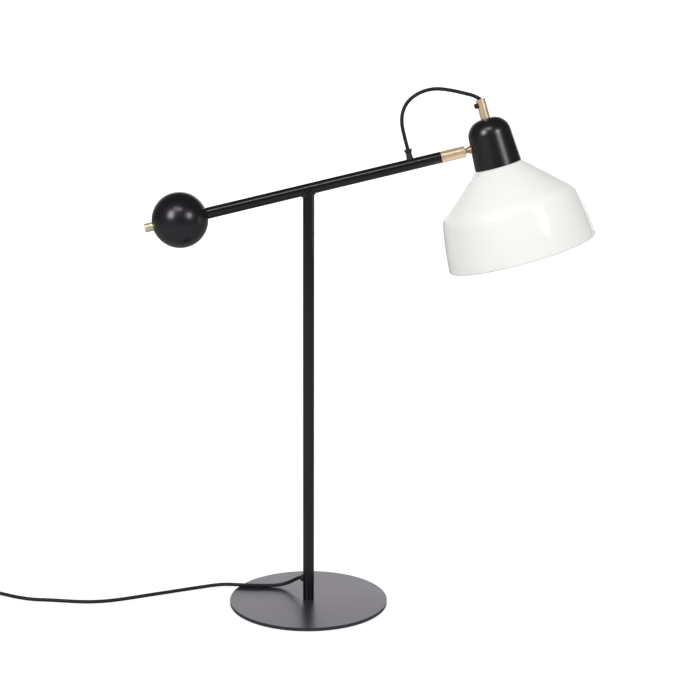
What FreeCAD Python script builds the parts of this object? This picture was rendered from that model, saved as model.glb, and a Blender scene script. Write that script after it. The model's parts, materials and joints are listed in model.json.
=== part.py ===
import FreeCAD, Part

import math
import os

from FreeCAD import Placement, Rotation, Vector

# A desk lamp: a round foot, an upright tube, a slanting cross arm with a ball weight at its tail,
# and a glass shade on a ball joint at its head. Millimetres, +Z up. The origin is the middle of
# the foot's underside, the arm lies in the XZ plane and the head is towards +X.

# Fits that several pieces share
fit_gap = 0.05
running_gap = 0.05
soft_gap = 0.3
overrun = 1.0
edge_break = 0.4
join_tolerance = 0.0001

# Foot
base_diameter = 229.3
base_thickness = 5.0
pad_thickness = 0.8
pad_inset = 3.0
base_screw_diameter = 8.0
base_screw_head = 15.0
base_screw_length = 20.0
base_screw_key = 5.0
base_screw_key_depth = 2.6
base_screw_clearance = 0.4

# Upright and cross arm
tube_diameter = 16.0
tube_wall = 1.5
tee_height = 607.8
arm_angle = 13.2
arm_head_length = 189.3
arm_tail_length = 150.0
weld_leg = 2.4
weld_bury = 1.5
tee_wire_hole = 10.0
foot_insert_length = 18.0

# Cord
cord_diameter = 5.2
cord_lift = 0.05
inner_bend = 7.0
inner_gentle_bend = 110.0
inner_sidestep = 2.0

# Cord glands
gland_hole = 9.0
gland_foot = 9.6
gland_waist = 7.8
gland_bore_gap = 0.1
gland_inside = 1.6
gland_rounding = 0.8
gland_lip = 11.0
gland_reach = 13.4
arm_gland_setback = 42.8
foot_gland_height = 30.4
foot_gland_turn = 108.0

# Ball weight
ball_diameter = 78.1
ball_past_tail = 33.0
ball_spot_face = 1.2
rod_diameter = 8.0
rod_hole_gap = 0.3
tail_insert_length = 20.0
rod_in_finial = 8.0
finial_diameter = 12.5
finial_length = 12.6
finial_chamfer = 0.8

# Ball joint at the head of the arm, from the sleeve's open end
sleeve_diameter = 16.2
sleeve_length = 34.3
sleeve_spigot = 18.0
sleeve_rounding = 0.8
joint_setback = 4.5
joint_ball = 12.4
joint_neck = 7.6
retainer_thread = 14.2
retainer_back = 2.0
retainer_lip = 3.0
retainer_mouth = 12.2
cup_front = 2.4
cup_length = 8.0
cup_diameter = 12.8
disc_count = 3
disc_thickness = 0.6
disc_cone = 0.42
disc_hole = 6.4
disc_gap = 0.03

# Head: reach from the ball joint to the shade's axis, and the pose in which it stands
head_reach = 44.3
head_tilt = 3.0
head_roll = -3.5
stud_thread = 6.0
stud_beyond_nut = 0.8
collar_length = 4.6
collar_small = 8.2
collar_large = 11.6
collar_chamfer = 0.5
stud_nut_key = 10.0
stud_nut_height = 4.5

# Cap over the lampholder, heights from the joint's axis
cap_top = 36.0
cap_mouth = -31.6
cap_mouth_radius = 33.1
cap_shoulder = 14.0
cap_shoulder_radius = 30.2
cap_top_rounding = 23.5
cap_wall = 1.2
stud_hole_gap = 0.2

# Cord grip on the cap
grip_diameter = 13.5
grip_length = 27.2
grip_bore = 6.6
grip_thread = 10.0
grip_thread_length = 15.0
grip_chamfer = 0.6
grip_mouth = 2.2
grip_nut_key = 14.0
grip_nut_height = 3.0
grip_nut_gap = 0.15
grip_screw_below_top = 7.6
grip_screw_diameter = 4.0
grip_screw_head = 7.4
grip_screw_head_height = 4.4
grip_screw_turn = 200.0

# Lampholder
holder_diameter = 41.0
holder_wall = 2.0
holder_boss = 16.0
holder_boss_height = 4.5
holder_cap_height = 19.0
holder_rounding = 5.0
holder_skirt_diameter = 39.6
holder_mouth = -33.0
holder_flange_diameter = 49.0
holder_flange_top = -6.4
holder_flange_height = 2.0
holder_core_height = 12.0
holder_core_rise = 4.0
holder_ledge = 1.8
terminal_diameter = 5.0
terminal_spacing = 20.0
terminal_depth = 6.0
terminal_wall = 0.8
screw_shell_bore = 27.2
screw_shell_wall = 0.5
centre_contact_width = 6.0
centre_contact_thickness = 0.6
centre_contact_length = 12.0
wire_diameter = 2.2

# Shade, depths from the joint's axis
shade_wall = 3.0
shade_neck_radius = 28.0
shade_seat_hole = 41.0
shade_throat_radius = 34.2
shade_shoulder_depth = 85.7
shade_shoulder_radius = 95.7
shade_belly_depth = 128.3
shade_belly_radius = 103.3
shade_rim_depth = 160.0
shade_rim_radius = 105.8
shade_shoulder_rounding = 30.0
shade_belly_rounding = 480.0
shade_throat_rounding = 3.2
shade_neck_rounding = 4.0
shade_seat_rounding = 3.6
shade_rim_rounding = 1.45
shade_ring_diameter = 48.4
shade_ring_height = 5.0
shade_ring_notch = 3.0
shade_ring_notches = 16

# Bulb
bulb_cap_diameter = 26.4
bulb_cap_length = 24.0
bulb_thread_pitch = 3.6
bulb_thread_depth = 0.9
bulb_thread_turns = 5
bulb_button = 9.0
bulb_button_height = 2.6
bulb_neck_diameter = 27.0
bulb_diameter = 60.0
bulb_length = 107.0
bulb_wall = 1.0
bulb_neck_length = 8.0
bulb_glass_gap = 0.1

# In-line switch on the cord
switch_length = 62.0
switch_width = 25.0
switch_height = 17.0
switch_split_share = 0.5
switch_wall = 2.0
switch_end_rounding = 9.0
switch_edge_rounding = 2.5
rocker_length = 22.0
rocker_width = 11.0
rocker_rise = 1.2
rocker_drop = 2.5
rocker_cheek = 1.5
rocker_cheek_length = 5.0
bridge_length = 16.0
bridge_width = 4.0
bridge_thickness = 0.6
bridge_aside = 3.5
rocker_gap = 0.35
rocker_pin = 2.0
rocker_pin_below = 2.8
rocker_throw = 8.0
switch_cord_in = 13.0
block_length = 8.0
block_width = 6.0
block_height = 7.4
block_spacing = 14.0
switch_screw_diameter = 3.0
switch_screw_head = 5.2
switch_screw_head_height = 1.8
switch_screw_sunk = 0.6
switch_screw_inset = 17.0
switch_thread_depth = 5.0
switch_post = 6.0

# Two-pin plug
plug_width = 35.3
plug_thickness = 13.7
plug_front_length = 17.0
plug_taper_length = 17.0
plug_back_width = 13.0
plug_corner = 4.2
plug_edge_rounding = 1.2
relief_length = 26.0
relief_large = 10.5
relief_small = 7.6
relief_groove = 0.9
relief_groove_width = 1.5
relief_grooves = 6
pin_diameter = 4.0
pin_length = 19.0
pin_spacing = 18.6
pin_sleeve_length = 10.0
pin_sleeve_diameter = 3.6
pin_core_diameter = 3.0
pin_root = 8.0

# Route of the loop, as shares of the distance between its ends: along, above and aside
loop_shares = [
    (0.046, 0.137, 0.003),
    (0.102, 0.282, 0.006),
    (0.176, 0.381, 0.008),
    (0.281, 0.447, 0.009),
    (0.403, 0.463, 0.009),
    (0.529, 0.443, 0.009),
    (0.654, 0.385, 0.008),
    (0.781, 0.273, 0.006),
    (0.896, 0.149, 0.004),
    (0.969, 0.067, 0.002),
]

# Route of the mains cord down to the foot and across it: shares of the foot's radius, and lifts
foot_route_shares = [
    (-0.084, 0.244),
    (-0.120, 0.314),
    (-0.176, 0.371),
    (-0.255, 0.409),
    (-0.358, 0.423),
    (-0.480, 0.427),
    (-0.628, 0.446),
    (-0.785, 0.466),
    (-0.925, 0.494),
]
foot_route_lifts = [20.3, 15.7, 9.8, 4.1, 0.6, 0, 0, 0, 0]

# Route over the foot's edge and along the table, with the lift above the table
table_route = [
    (-121.5, 62.0, 4.8),
    (-137.5, 66.2, 2.3),
    (-155.0, 64.8, 0.5),
    (-176.0, 58.8, 0),
    (-204.0, 48.6, 0),
    (-238.0, 36.6, 0),
    (-268.0, 25.2, 0),
    (-296.0, 17.4, 0),
    (-324.0, 16.6, 0),
    (-352.0, 22.0, 0),
    (-378.0, 28.4, 0),
    (-402.0, 32.0, 0),
    (-424.0, 42.0, 0),
    (-446.0, 54.0, 0.9),
    (-467.0, 62.4, 3.8),
]
switch_run = 5.0
switch_place = (-522.0, 69.0)
switch_heading = 176.0

# Lead from the switch to the coil, as shares of its length
lead_shares = [0, 0.45, 0.8, 1]

# Coil of the length that is put away behind the switch, and the lead on to the plug
coil_lead = 46.0
coil_middle_diameter = 62.4
coil_gap = 0.6
coil_halves = 11
plug_route = [
    (-574.6, -15.5, 4.9),
]
plug_place = (-560.5, -39.1)
plug_heading = -70.0
plug_first_run = 17.4
plug_last_run = 14.0

tube_radius = tube_diameter / 2
tube_bore_radius = tube_radius - tube_wall
cord_radius = cord_diameter / 2
base_top = pad_thickness + base_thickness
ball_radius = ball_diameter / 2
ball_station = arm_tail_length + ball_past_tail
joint_station = arm_head_length + sleeve_length - joint_setback
arm_gland_station = arm_head_length - arm_gland_setback
origin = Vector(0, 0, 0)
up = Vector(0, 0, 1)


def polar(radius, angle):
    """A point in the XY plane."""
    return Vector(radius * math.cos(math.radians(angle)), radius * math.sin(math.radians(angle)), 0)


def path_edges(points, rounds, closed=False):
    """Straight runs through the points, joined by tangent arcs of the given radii."""
    count = len(points)
    corners = []
    for i, point in enumerate(points):
        is_end = not closed and i in (0, count - 1)
        if is_end or not rounds[i]:
            corners.append((point, None, point))
            continue
        back = (points[i - 1] - point).normalize()
        ahead = (points[(i + 1) % count] - point).normalize()
        half = back.getAngle(ahead) / 2
        reach = rounds[i] / math.tan(half)
        centre = point + (back + ahead).normalize() * (rounds[i] / math.sin(half))
        middle = centre + (point - centre).normalize() * rounds[i]
        corners.append((point + back * reach, middle, point + ahead * reach))
    edges = []
    for i, (start, middle, end) in enumerate(corners):
        if middle is not None:
            edges.append(Part.Arc(start, middle, end).toShape())
        if i < count - 1 or closed:
            following = corners[(i + 1) % count][0]
            if (following - end).Length > join_tolerance:
                edges.append(Part.LineSegment(end, following).toShape())
    return edges


def outline(corners):
    """A closed outline in the XZ plane from (radius, height) or (radius, height, rounding)."""
    points = [Vector(corner[0], 0, corner[1]) for corner in corners]
    rounds = [corner[2] if len(corner) > 2 else 0 for corner in corners]
    return Part.Wire(path_edges(points, rounds, closed=True))


def turned(corners):
    """The solid that a closed outline makes when it turns about Z."""
    return Part.Face(outline(corners)).revolve(origin, up, 360)


def offset_corners(corners, distance):
    """The same open run of corners moved sideways by a distance, to the left of its direction."""
    points = [Vector(corner[0], 0, corner[1]) for corner in corners]
    normals = []
    for a, b in zip(points, points[1:]):
        along = (b - a).normalize()
        normals.append(Vector(-along.z, 0, along.x))
    moved = []
    for i, point in enumerate(points):
        before = normals[max(i - 1, 0)]
        after = normals[min(i, len(normals) - 1)]
        shift = (before + after) * (distance / (1 + before.dot(after)))
        moved.append(point + shift)
    return moved


def cylinder(radius, length, base=origin, direction=up):
    return Part.makeCylinder(radius, length, base, direction)


def hexagon(key, height, base):
    """A hexagonal prism standing on its base point, as wide across its flats as the key."""
    corner = key / math.sqrt(3)
    points = [base + polar(corner, 60 * i) for i in range(7)]
    return Part.Face(Part.makePolygon(points)).extrude(up * height)


def block(length, width, height, centre=origin):
    """A box with its bottom face centred on a point."""
    corner = centre - Vector(length / 2, width / 2, 0)
    return Part.makeBox(length, width, height, corner)


def tube_along(edges, radius):
    """A round solid tube along a run of joined edges."""
    spine = Part.Wire(edges)
    first = edges[0]
    start = first.valueAt(first.FirstParameter)
    heading = first.tangentAt(first.FirstParameter)
    section = Part.Wire([Part.Circle(start, heading, radius).toShape()])
    return spine.makePipeShell([section], True, False)


def free_rounds(points):
    """The bend radius at each point of a free cord, and nothing at its ends."""
    bend_share = 0.45
    rounds = [0]
    for before, point, after in zip(points, points[1:], points[2:]):
        turn = (point - before).getAngle(after - point)
        shorter = min((point - before).Length, (after - point).Length)
        rounds.append(bend_share * shorter / math.tan(turn / 2))
    return rounds + [0]


def mouth_block(pose, height):
    """What lies below a mouth at a height in the given frame."""
    size = cord_diameter * 2
    return placed(cylinder(size, size, up * (height - size)), pose)


def free_cord(points, mouths):
    """A free cord through the points, cut flush with the mouths that it comes out of."""
    edges = path_edges(points, free_rounds(points))
    longer = list(points)
    if mouths:
        longer[0] = points[0] + (points[0] - points[1]).normalize() * cord_diameter
    if len(mouths) > 1:
        longer[-1] = points[-1] + (points[-1] - points[-2]).normalize() * cord_diameter
    rounds = free_rounds(points)
    tube = tube_along(path_edges(longer, rounds), cord_radius)
    return edges, tube.cut(mouths) if mouths else tube


def report_cord(name, edges, tube):
    """Prints a cord's length, its tightest bend and how its volume compares."""
    length = sum(edge.Length for edge in edges)
    radii = [edge.Curve.Radius for edge in edges if hasattr(edge.Curve, "Radius")]
    expected = length * math.pi * cord_radius**2
    print(
        f"{name}: length {length:.1f}, tightest bend {min(radii):.1f},"
        f" volume {tube.Volume / expected:.4f} of section times length"
    )


# Places of the arm and the head


def arm_pose():
    """The arm's frame: X along the arm towards the head, origin where the arm crosses the upright."""
    return Placement(Vector(0, 0, tee_height), Rotation(Vector(0, 1, 0), -arm_angle))


def joint_pose():
    """The head's frame at the ball joint's centre."""
    turn = Rotation(Vector(1, 0, 0), head_roll).multiply(Rotation(Vector(0, 1, 0), -head_tilt))
    return arm_pose().multiply(Placement(Vector(joint_station, 0, 0), turn))


def head_pose():
    """The head's frame: Z up the shade's axis, origin level with the ball joint."""
    return joint_pose().multiply(Placement(Vector(head_reach, 0, 0), Rotation()))


def placed(shape, pose):
    moved = shape.copy()
    moved.Placement = pose.multiply(moved.Placement)
    return moved


def lying(shape, station=0):
    """Turns a solid of revolution about Z so that its axis runs along X from a station."""
    pose = Placement(Vector(station, 0, 0), Rotation(Vector(0, 1, 0), 90))
    return placed(shape, pose)


def on_arm(shape):
    return placed(shape, arm_pose())


def on_head(shape):
    return placed(shape, head_pose())


# Foot


def base_plate():
    outer = base_diameter / 2
    hole = base_screw_diameter / 2 + base_screw_clearance
    head = base_screw_head / 2 + base_screw_clearance
    return turned(
        [
            (head, pad_thickness),
            (outer, pad_thickness, edge_break),
            (outer, base_top, edge_break),
            (hole, base_top),
            (hole, pad_thickness + head - hole),
        ]
    )


def base_pad():
    outer = base_diameter / 2 - pad_inset
    return cylinder(outer, pad_thickness)


def base_screw():
    shank = base_screw_diameter / 2
    head = base_screw_head / 2
    bottom = pad_thickness + base_screw_clearance
    body = turned(
        [
            (0, bottom),
            (head, bottom),
            (shank, bottom + head - shank),
            (shank, bottom + base_screw_length - edge_break),
            (shank - edge_break, bottom + base_screw_length),
            (0, bottom + base_screw_length),
        ]
    )
    key = hexagon(base_screw_key, base_screw_key_depth + overrun, Vector(0, 0, bottom - overrun))
    return body.cut(key)


def foot_insert():
    outer = tube_bore_radius - fit_gap
    body = cylinder(outer, foot_insert_length, Vector(0, 0, base_top))
    hole = cylinder(
        base_screw_diameter / 2 + fit_gap,
        foot_insert_length + overrun * 2,
        Vector(0, 0, base_top - overrun),
    )
    return body.cut(hole)


# Upright and arm


def arm_solid(radius):
    """A round bar along the arm's whole length."""
    length = arm_head_length + arm_tail_length
    return on_arm(cylinder(radius, length, Vector(-arm_tail_length, 0, 0), Vector(1, 0, 0)))


def stem_blank(radius):
    return cylinder(radius, tee_height - base_top, Vector(0, 0, base_top))


def foot_gland_pose():
    """The foot gland's frame: Z out of the upright's side, origin on the upright's axis."""
    turn = Rotation(up, foot_gland_turn).multiply(Rotation(Vector(0, 1, 0), 90))
    return Placement(Vector(0, 0, foot_gland_height), turn)


def stem_tube():
    bore = cylinder(tube_bore_radius, tee_height, Vector(0, 0, base_top - overrun))
    gland_drill = placed(cylinder(gland_hole / 2 + fit_gap, tube_diameter), foot_gland_pose())
    return stem_blank(tube_radius).cut([bore, arm_solid(tube_radius), gland_drill])


def arm_tube():
    bore = cylinder(
        tube_bore_radius,
        arm_head_length + arm_tail_length + overrun * 2,
        Vector(-arm_tail_length - overrun, 0, 0),
        Vector(1, 0, 0),
    )
    wire_hole = cylinder(tee_wire_hole / 2, tube_diameter, Vector(0, 0, tee_height - tube_diameter))
    gland_drill = cylinder(gland_hole / 2 + fit_gap, tube_diameter, Vector(arm_gland_station, 0, 0))
    return arm_solid(tube_radius).cut([on_arm(bore), wire_hole, on_arm(gland_drill)])


def corner_bead(side):
    """A flat bead across one of the two corners under the arm: a short bar laid over the corner."""
    tilt = math.radians(arm_angle)
    along = Vector(math.cos(tilt), 0, math.sin(tilt)) * side
    corner_x = side * tube_radius
    run = (corner_x - tube_radius * math.sin(tilt)) / math.cos(tilt)
    corner = Vector(corner_x, 0, tee_height + run * math.sin(tilt) - tube_radius * math.cos(tilt))
    outward = (along - up).normalize()
    half = along.getAngle(outward)
    bar_radius = tube_radius - fit_gap
    bar = up.cross(along).normalize().cross(outward)
    length = (weld_leg * math.sin(half) + weld_bury) * 2
    middle = corner + outward * (weld_leg * math.cos(half) - bar_radius)
    return cylinder(bar_radius, length, middle - bar * (length / 2), bar)


def tee_weld():
    """The weld in the corners between the upright and the arm."""
    tubes = [stem_blank(tube_radius), arm_solid(tube_radius)]
    return Part.makeCompound([corner_bead(side).cut(tubes) for side in (1, -1)])


# Cord glands


def gland():
    """A trumpet-shaped bush about Z, for a hole in a tube that lies along X."""
    bore = cord_radius + gland_bore_gap
    end = tube_radius + gland_reach
    lip = gland_lip / 2
    shoulder = tube_radius - tube_wall
    body = turned(
        [
            (bore, shoulder - gland_inside),
            (gland_hole / 2, shoulder - gland_inside),
            (gland_hole / 2, shoulder),
            (gland_foot / 2, shoulder),
            (gland_foot / 2, tube_radius + gland_rounding),
            (gland_waist / 2, tube_radius + gland_reach / 2, gland_rounding),
            (lip, end - gland_rounding),
            (lip, end),
            (bore + gland_rounding, end),
            (bore, end - gland_rounding),
        ]
    )
    seat = cylinder(tube_radius, tube_diameter * 2, Vector(-tube_diameter, 0, 0), Vector(1, 0, 0))
    return body.cut(seat.cut(cylinder(gland_hole / 2, tube_diameter)))


def foot_gland():
    return placed(gland(), foot_gland_pose())


def arm_gland_pose():
    """The arm gland's frame: Z out of the arm's top, origin on the arm's axis."""
    return arm_pose().multiply(Placement(Vector(arm_gland_station, 0, 0), Rotation()))


def arm_gland():
    return placed(gland(), arm_gland_pose())


# Ball weight and its fastening


def tail_insert():
    body = turned(
        [
            (rod_diameter / 2 + fit_gap, -arm_tail_length),
            (tube_bore_radius - fit_gap, -arm_tail_length),
            (tube_bore_radius - fit_gap, tail_insert_length - arm_tail_length),
            (rod_diameter / 2 + fit_gap, tail_insert_length - arm_tail_length),
        ]
    )
    return on_arm(lying(body))


def finial_seat():
    """The station of the flat that the finial bears on, measured from the ball's middle."""
    return math.sqrt(ball_radius**2 - (finial_diameter / 2) ** 2) - ball_spot_face


def ball_weight():
    ball = Part.makeSphere(ball_radius, Vector(-ball_station, 0, 0))
    socket = cylinder(
        tube_radius + fit_gap,
        ball_diameter,
        Vector(-arm_tail_length, 0, 0),
        Vector(1, 0, 0),
    )
    through = cylinder(
        rod_diameter / 2 + rod_hole_gap,
        ball_diameter + overrun * 2,
        Vector(-ball_station - ball_radius - overrun, 0, 0),
        Vector(1, 0, 0),
    )
    spot = cylinder(
        finial_diameter / 2 + fit_gap,
        ball_radius,
        Vector(-ball_station - finial_seat(), 0, 0),
        Vector(-1, 0, 0),
    )
    return on_arm(ball.cut([socket, through, spot]))


def ball_rod():
    start = tail_insert_length - arm_tail_length
    end = -ball_station - finial_seat() - rod_in_finial
    return on_arm(cylinder(rod_diameter / 2, start - end, Vector(end, 0, 0), Vector(1, 0, 0)))


def ball_finial():
    outer = finial_diameter / 2
    hole = rod_diameter / 2 + fit_gap
    body = turned(
        [
            (hole, 0),
            (outer, 0),
            (outer, finial_length, finial_chamfer),
            (0, finial_length),
            (0, rod_in_finial + fit_gap),
            (hole, rod_in_finial + fit_gap),
        ]
    )
    pose = Placement(Vector(-ball_station - finial_seat(), 0, 0), Rotation(Vector(0, 1, 0), -90))
    return on_arm(placed(body, pose))


# Ball joint in the sleeve


def cavity_end():
    """How far behind the joint's centre the sleeve's cavity ends."""
    return cup_front + cup_length + disc_count * (disc_thickness + disc_cone + disc_gap)


def joint_sleeve():
    outer = sleeve_diameter / 2
    thread = retainer_thread / 2 + fit_gap
    cavity = cup_diameter / 2 + fit_gap
    start = arm_head_length - joint_station
    body = turned(
        [
            (0, start - sleeve_spigot),
            (tube_bore_radius - fit_gap, start - sleeve_spigot),
            (tube_bore_radius - fit_gap, start),
            (outer, start, edge_break),
            (outer, joint_setback, sleeve_rounding),
            (thread, joint_setback),
            (thread, -retainer_back),
            (cavity, -retainer_back),
            (cavity, -cavity_end()),
            (0, -cavity_end()),
        ]
    )
    return on_arm(lying(body, joint_station))


def joint_retainer():
    seat = joint_ball / 2 + running_gap
    lip_radius = math.sqrt(seat**2 - retainer_lip**2)
    body = turned(
        [
            (lip_radius, -retainer_back),
            (retainer_thread / 2, -retainer_back),
            (retainer_thread / 2, joint_setback),
            (retainer_mouth / 2, joint_setback),
            (lip_radius, retainer_lip),
        ]
    )
    return on_arm(lying(body.cut(Part.makeSphere(seat)), joint_station))


def friction_cup():
    outer = cup_diameter / 2
    body = turned(
        [
            (0, -cup_front - cup_length),
            (outer, -cup_front - cup_length, edge_break),
            (outer, -cup_front),
            (0, -cup_front),
        ]
    )
    return on_arm(lying(body.cut(Part.makeSphere(joint_ball / 2 + running_gap)), joint_station))


def disc_springs():
    """Cone-shaped spring washers, laid back to back behind the cup."""
    outer = cup_diameter / 2 - fit_gap
    inner = disc_hole / 2
    step = disc_thickness + disc_cone + disc_gap
    discs = []
    for i in range(disc_count):
        rear = -cavity_end() + disc_gap / 2 + i * step
        low, high = (0, disc_cone) if i % 2 else (disc_cone, 0)
        disc = turned(
            [
                (inner, rear + low),
                (outer, rear + high),
                (outer, rear + high + disc_thickness),
                (inner, rear + low + disc_thickness),
            ]
        )
        discs.append(on_arm(lying(disc, joint_station)))
    return Part.makeCompound(discs)


def cap_radius(height):
    """The cap's outer radius on its straight side."""
    share = (height - cap_shoulder) / (cap_mouth - cap_shoulder)
    return cap_shoulder_radius + share * (cap_mouth_radius - cap_shoulder_radius)


def stud_nut_seat():
    """How far from the cap's axis the flat face of the stud's nut lies."""
    inside = cap_radius(stud_nut_key / 2) - cap_wall
    corner = stud_nut_key / math.sqrt(3)
    return math.sqrt(inside**2 - corner**2) - fit_gap


def ball_stud():
    """Ball, neck and thread in one piece, along the head's X axis."""
    neck_end = head_reach - cap_radius(0) - collar_length
    thread_end = head_reach - stud_nut_seat() + stud_nut_height + stud_beyond_nut
    ball = Part.makeSphere(joint_ball / 2)
    neck = cylinder(joint_neck / 2, neck_end, origin, Vector(1, 0, 0))
    thread = cylinder(stud_thread / 2, thread_end, origin, Vector(1, 0, 0))
    return placed(ball.fuse([neck, thread]).removeSplitter(), joint_pose())


def cap_solid(inset):
    """The cap's outer form, or its inner form when inset by the wall."""
    return turned(
        [
            (0, cap_mouth - (overrun if inset else 0)),
            (cap_mouth_radius - inset, cap_mouth - (overrun if inset else 0)),
            (cap_mouth_radius - inset, cap_mouth),
            (cap_shoulder_radius - inset, cap_shoulder),
            (cap_radius(cap_top) - inset, cap_top - inset, cap_top_rounding - inset),
            (0, cap_top - inset),
        ]
    )


def joint_collar():
    """The flared ring between the neck and the cap, hollowed to sit on the cap's side."""
    end = head_reach - cap_radius(0)
    start = end - collar_length
    body = turned(
        [
            (stud_thread / 2 + fit_gap, start),
            (collar_small / 2, start, edge_break),
            (collar_large / 2, end - collar_chamfer),
            (collar_large / 2, end + collar_length),
            (stud_thread / 2 + fit_gap, end + collar_length),
        ]
    )
    shaped = placed(lying(body), Placement(Vector(-head_reach, 0, 0), Rotation()))
    return on_head(shaped.cut(cap_solid(0)))


def joint_nut():
    nut = hexagon(stud_nut_key, stud_nut_height, origin).cut(
        cylinder(stud_thread / 2 + fit_gap, stud_nut_height * 3, Vector(0, 0, -stud_nut_height))
    )
    return on_head(lying(nut, -stud_nut_seat()))


# Cap and cord grip


def head_cap():
    body = cap_solid(0).cut(cap_solid(cap_wall))
    top_hole = cylinder(grip_thread / 2 + fit_gap, cap_top * 2)
    side_hole = cylinder(
        stud_thread / 2 + stud_hole_gap,
        cap_mouth_radius * 2,
        origin,
        Vector(-1, 0, 0),
    )
    return on_head(body.cut([top_hole, side_hole]))


def grip_screw_height():
    return cap_top + grip_length - grip_screw_below_top


def grip_screw_pose():
    """The screw's frame: Z out of the grip's side, origin on the grip's axis."""
    turn = Rotation(up, grip_screw_turn).multiply(Rotation(Vector(0, 1, 0), 90))
    return Placement(Vector(0, 0, grip_screw_height()), turn)


def cord_grip():
    outer = grip_diameter / 2
    bore = grip_bore / 2
    thread = grip_thread / 2
    body = turned(
        [
            (bore, cap_top - grip_thread_length),
            (thread, cap_top - grip_thread_length),
            (thread, cap_top),
            (outer, cap_top),
            (outer, cap_top + grip_length, grip_chamfer),
            (bore + grip_mouth, cap_top + grip_length),
            (bore, cap_top + grip_length - grip_mouth),
        ]
    )
    drill = placed(cylinder(grip_screw_diameter / 2 + fit_gap, grip_diameter), grip_screw_pose())
    return on_head(body.cut(drill))


def grip_screw():
    shank = grip_screw_diameter / 2
    head = grip_screw_head / 2
    seat = grip_diameter / 2
    body = turned(
        [
            (0, cord_radius + fit_gap),
            (shank, cord_radius + fit_gap),
            (shank, seat),
            (head, seat),
            (head, seat + grip_screw_head_height, head / 2),
            (0, seat + grip_screw_head_height),
        ]
    )
    slot_width = grip_screw_head / 6
    slot = block(
        grip_screw_head * 2,
        slot_width,
        grip_screw_head_height,
        Vector(0, 0, seat + grip_screw_head_height * 2 / 3),
    )
    return on_head(placed(body.cut(slot), grip_screw_pose()))


def grip_nut():
    top = cap_top - cap_wall - grip_nut_gap
    nut = hexagon(grip_nut_key, grip_nut_height, Vector(0, 0, top - grip_nut_height))
    return on_head(nut.cut(cylinder(grip_thread / 2 + fit_gap, cap_top * 2)))


# Lampholder


def holder_top():
    return cap_top - cap_wall - grip_nut_gap - grip_nut_height


def holder_joint():
    """The height at which the lampholder's cap meets its skirt."""
    return holder_top() - holder_boss_height - holder_cap_height


def core_top():
    return holder_joint() + holder_core_rise


def shell_top():
    return core_top() - holder_core_height


def holder_cap():
    outer = holder_diameter / 2
    inner = outer - holder_wall
    top = holder_top()
    shoulder = top - holder_boss_height
    thread = grip_thread / 2 + fit_gap
    return on_head(
        turned(
            [
                (thread, top),
                (holder_boss / 2, top, edge_break),
                (holder_boss / 2, shoulder),
                (outer, shoulder, holder_rounding),
                (outer, holder_joint()),
                (inner, holder_joint()),
                (inner, shoulder - holder_wall, holder_rounding - holder_wall),
                (thread, shoulder - holder_wall),
            ]
        )
    )


def holder_skirt():
    """The threaded lower sleeve with the flange that the shade hangs from."""
    outer = holder_skirt_diameter / 2
    inner = outer - holder_wall
    top = holder_joint()
    flange = holder_flange_diameter / 2
    neck = holder_diameter / 2 - holder_wall - fit_gap
    lap = holder_wall
    ledge = inner - holder_ledge
    ledge_height = shell_top() - screw_shell_wall
    return on_head(
        turned(
            [
                (ledge, holder_mouth),
                (outer, holder_mouth, edge_break),
                (outer, holder_flange_top - holder_flange_height),
                (flange, holder_flange_top - holder_flange_height, edge_break),
                (flange, holder_flange_top, edge_break),
                (holder_diameter / 2, holder_flange_top),
                (holder_diameter / 2, top),
                (neck, top),
                (neck, top + lap),
                (inner, top + lap),
                (inner, ledge_height),
                (ledge, ledge_height),
            ]
        )
    )


def terminal_places():
    return [Vector(0, side * terminal_spacing / 2, core_top()) for side in (-1, 1)]


def holder_core():
    """The ceramic body that carries the contacts."""
    outer = holder_skirt_diameter / 2 - holder_wall - fit_gap
    body = cylinder(outer, holder_core_height, Vector(0, 0, core_top() - holder_core_height))
    drills = [
        cylinder(terminal_diameter / 2 + fit_gap, terminal_depth, place - up * terminal_depth)
        for place in terminal_places()
    ]
    return on_head(body.cut(drills))


def holder_terminals():
    """Two brass tubes in the core that the wires are pushed into."""
    outer = terminal_diameter / 2
    tubes = []
    for place in terminal_places():
        foot = place - up * terminal_depth
        tube = cylinder(outer, terminal_depth, foot)
        hole = cylinder(outer - terminal_wall, terminal_depth, foot + up * terminal_wall)
        tubes.append(on_head(tube.cut(hole)))
    return Part.makeCompound(tubes)


def screw_shell():
    """The thin brass sleeve that the bulb screws into."""
    bore = screw_shell_bore / 2
    outer = bore + screw_shell_wall
    depth = shell_top() - holder_mouth - holder_wall * 2
    rim = holder_skirt_diameter / 2 - holder_wall - fit_gap
    return on_head(
        turned(
            [
                (bore, shell_top() - depth),
                (outer, shell_top() - depth),
                (outer, shell_top() - screw_shell_wall),
                (rim, shell_top() - screw_shell_wall),
                (rim, shell_top()),
                (bore, shell_top()),
            ]
        )
    )


def bulb_top():
    """The height of the bulb's end contact."""
    return shell_top() - centre_contact_thickness * 3


def centre_contact():
    """A springy tongue under the core that meets the end of the bulb."""
    root = block(
        centre_contact_length,
        centre_contact_width,
        centre_contact_thickness,
        Vector(0, 0, shell_top() - centre_contact_thickness),
    )
    foot = block(
        centre_contact_length / 3,
        centre_contact_width,
        centre_contact_thickness * 2,
        Vector(centre_contact_length / 3, 0, shell_top() - centre_contact_thickness * 2),
    )
    tongue = block(
        centre_contact_length * 2 / 3,
        centre_contact_width,
        centre_contact_thickness,
        Vector(centre_contact_length / 6, 0, shell_top() - centre_contact_thickness * 3),
    )
    return on_head(root.fuse([foot, tongue]).removeSplitter())


# Shade


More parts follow.
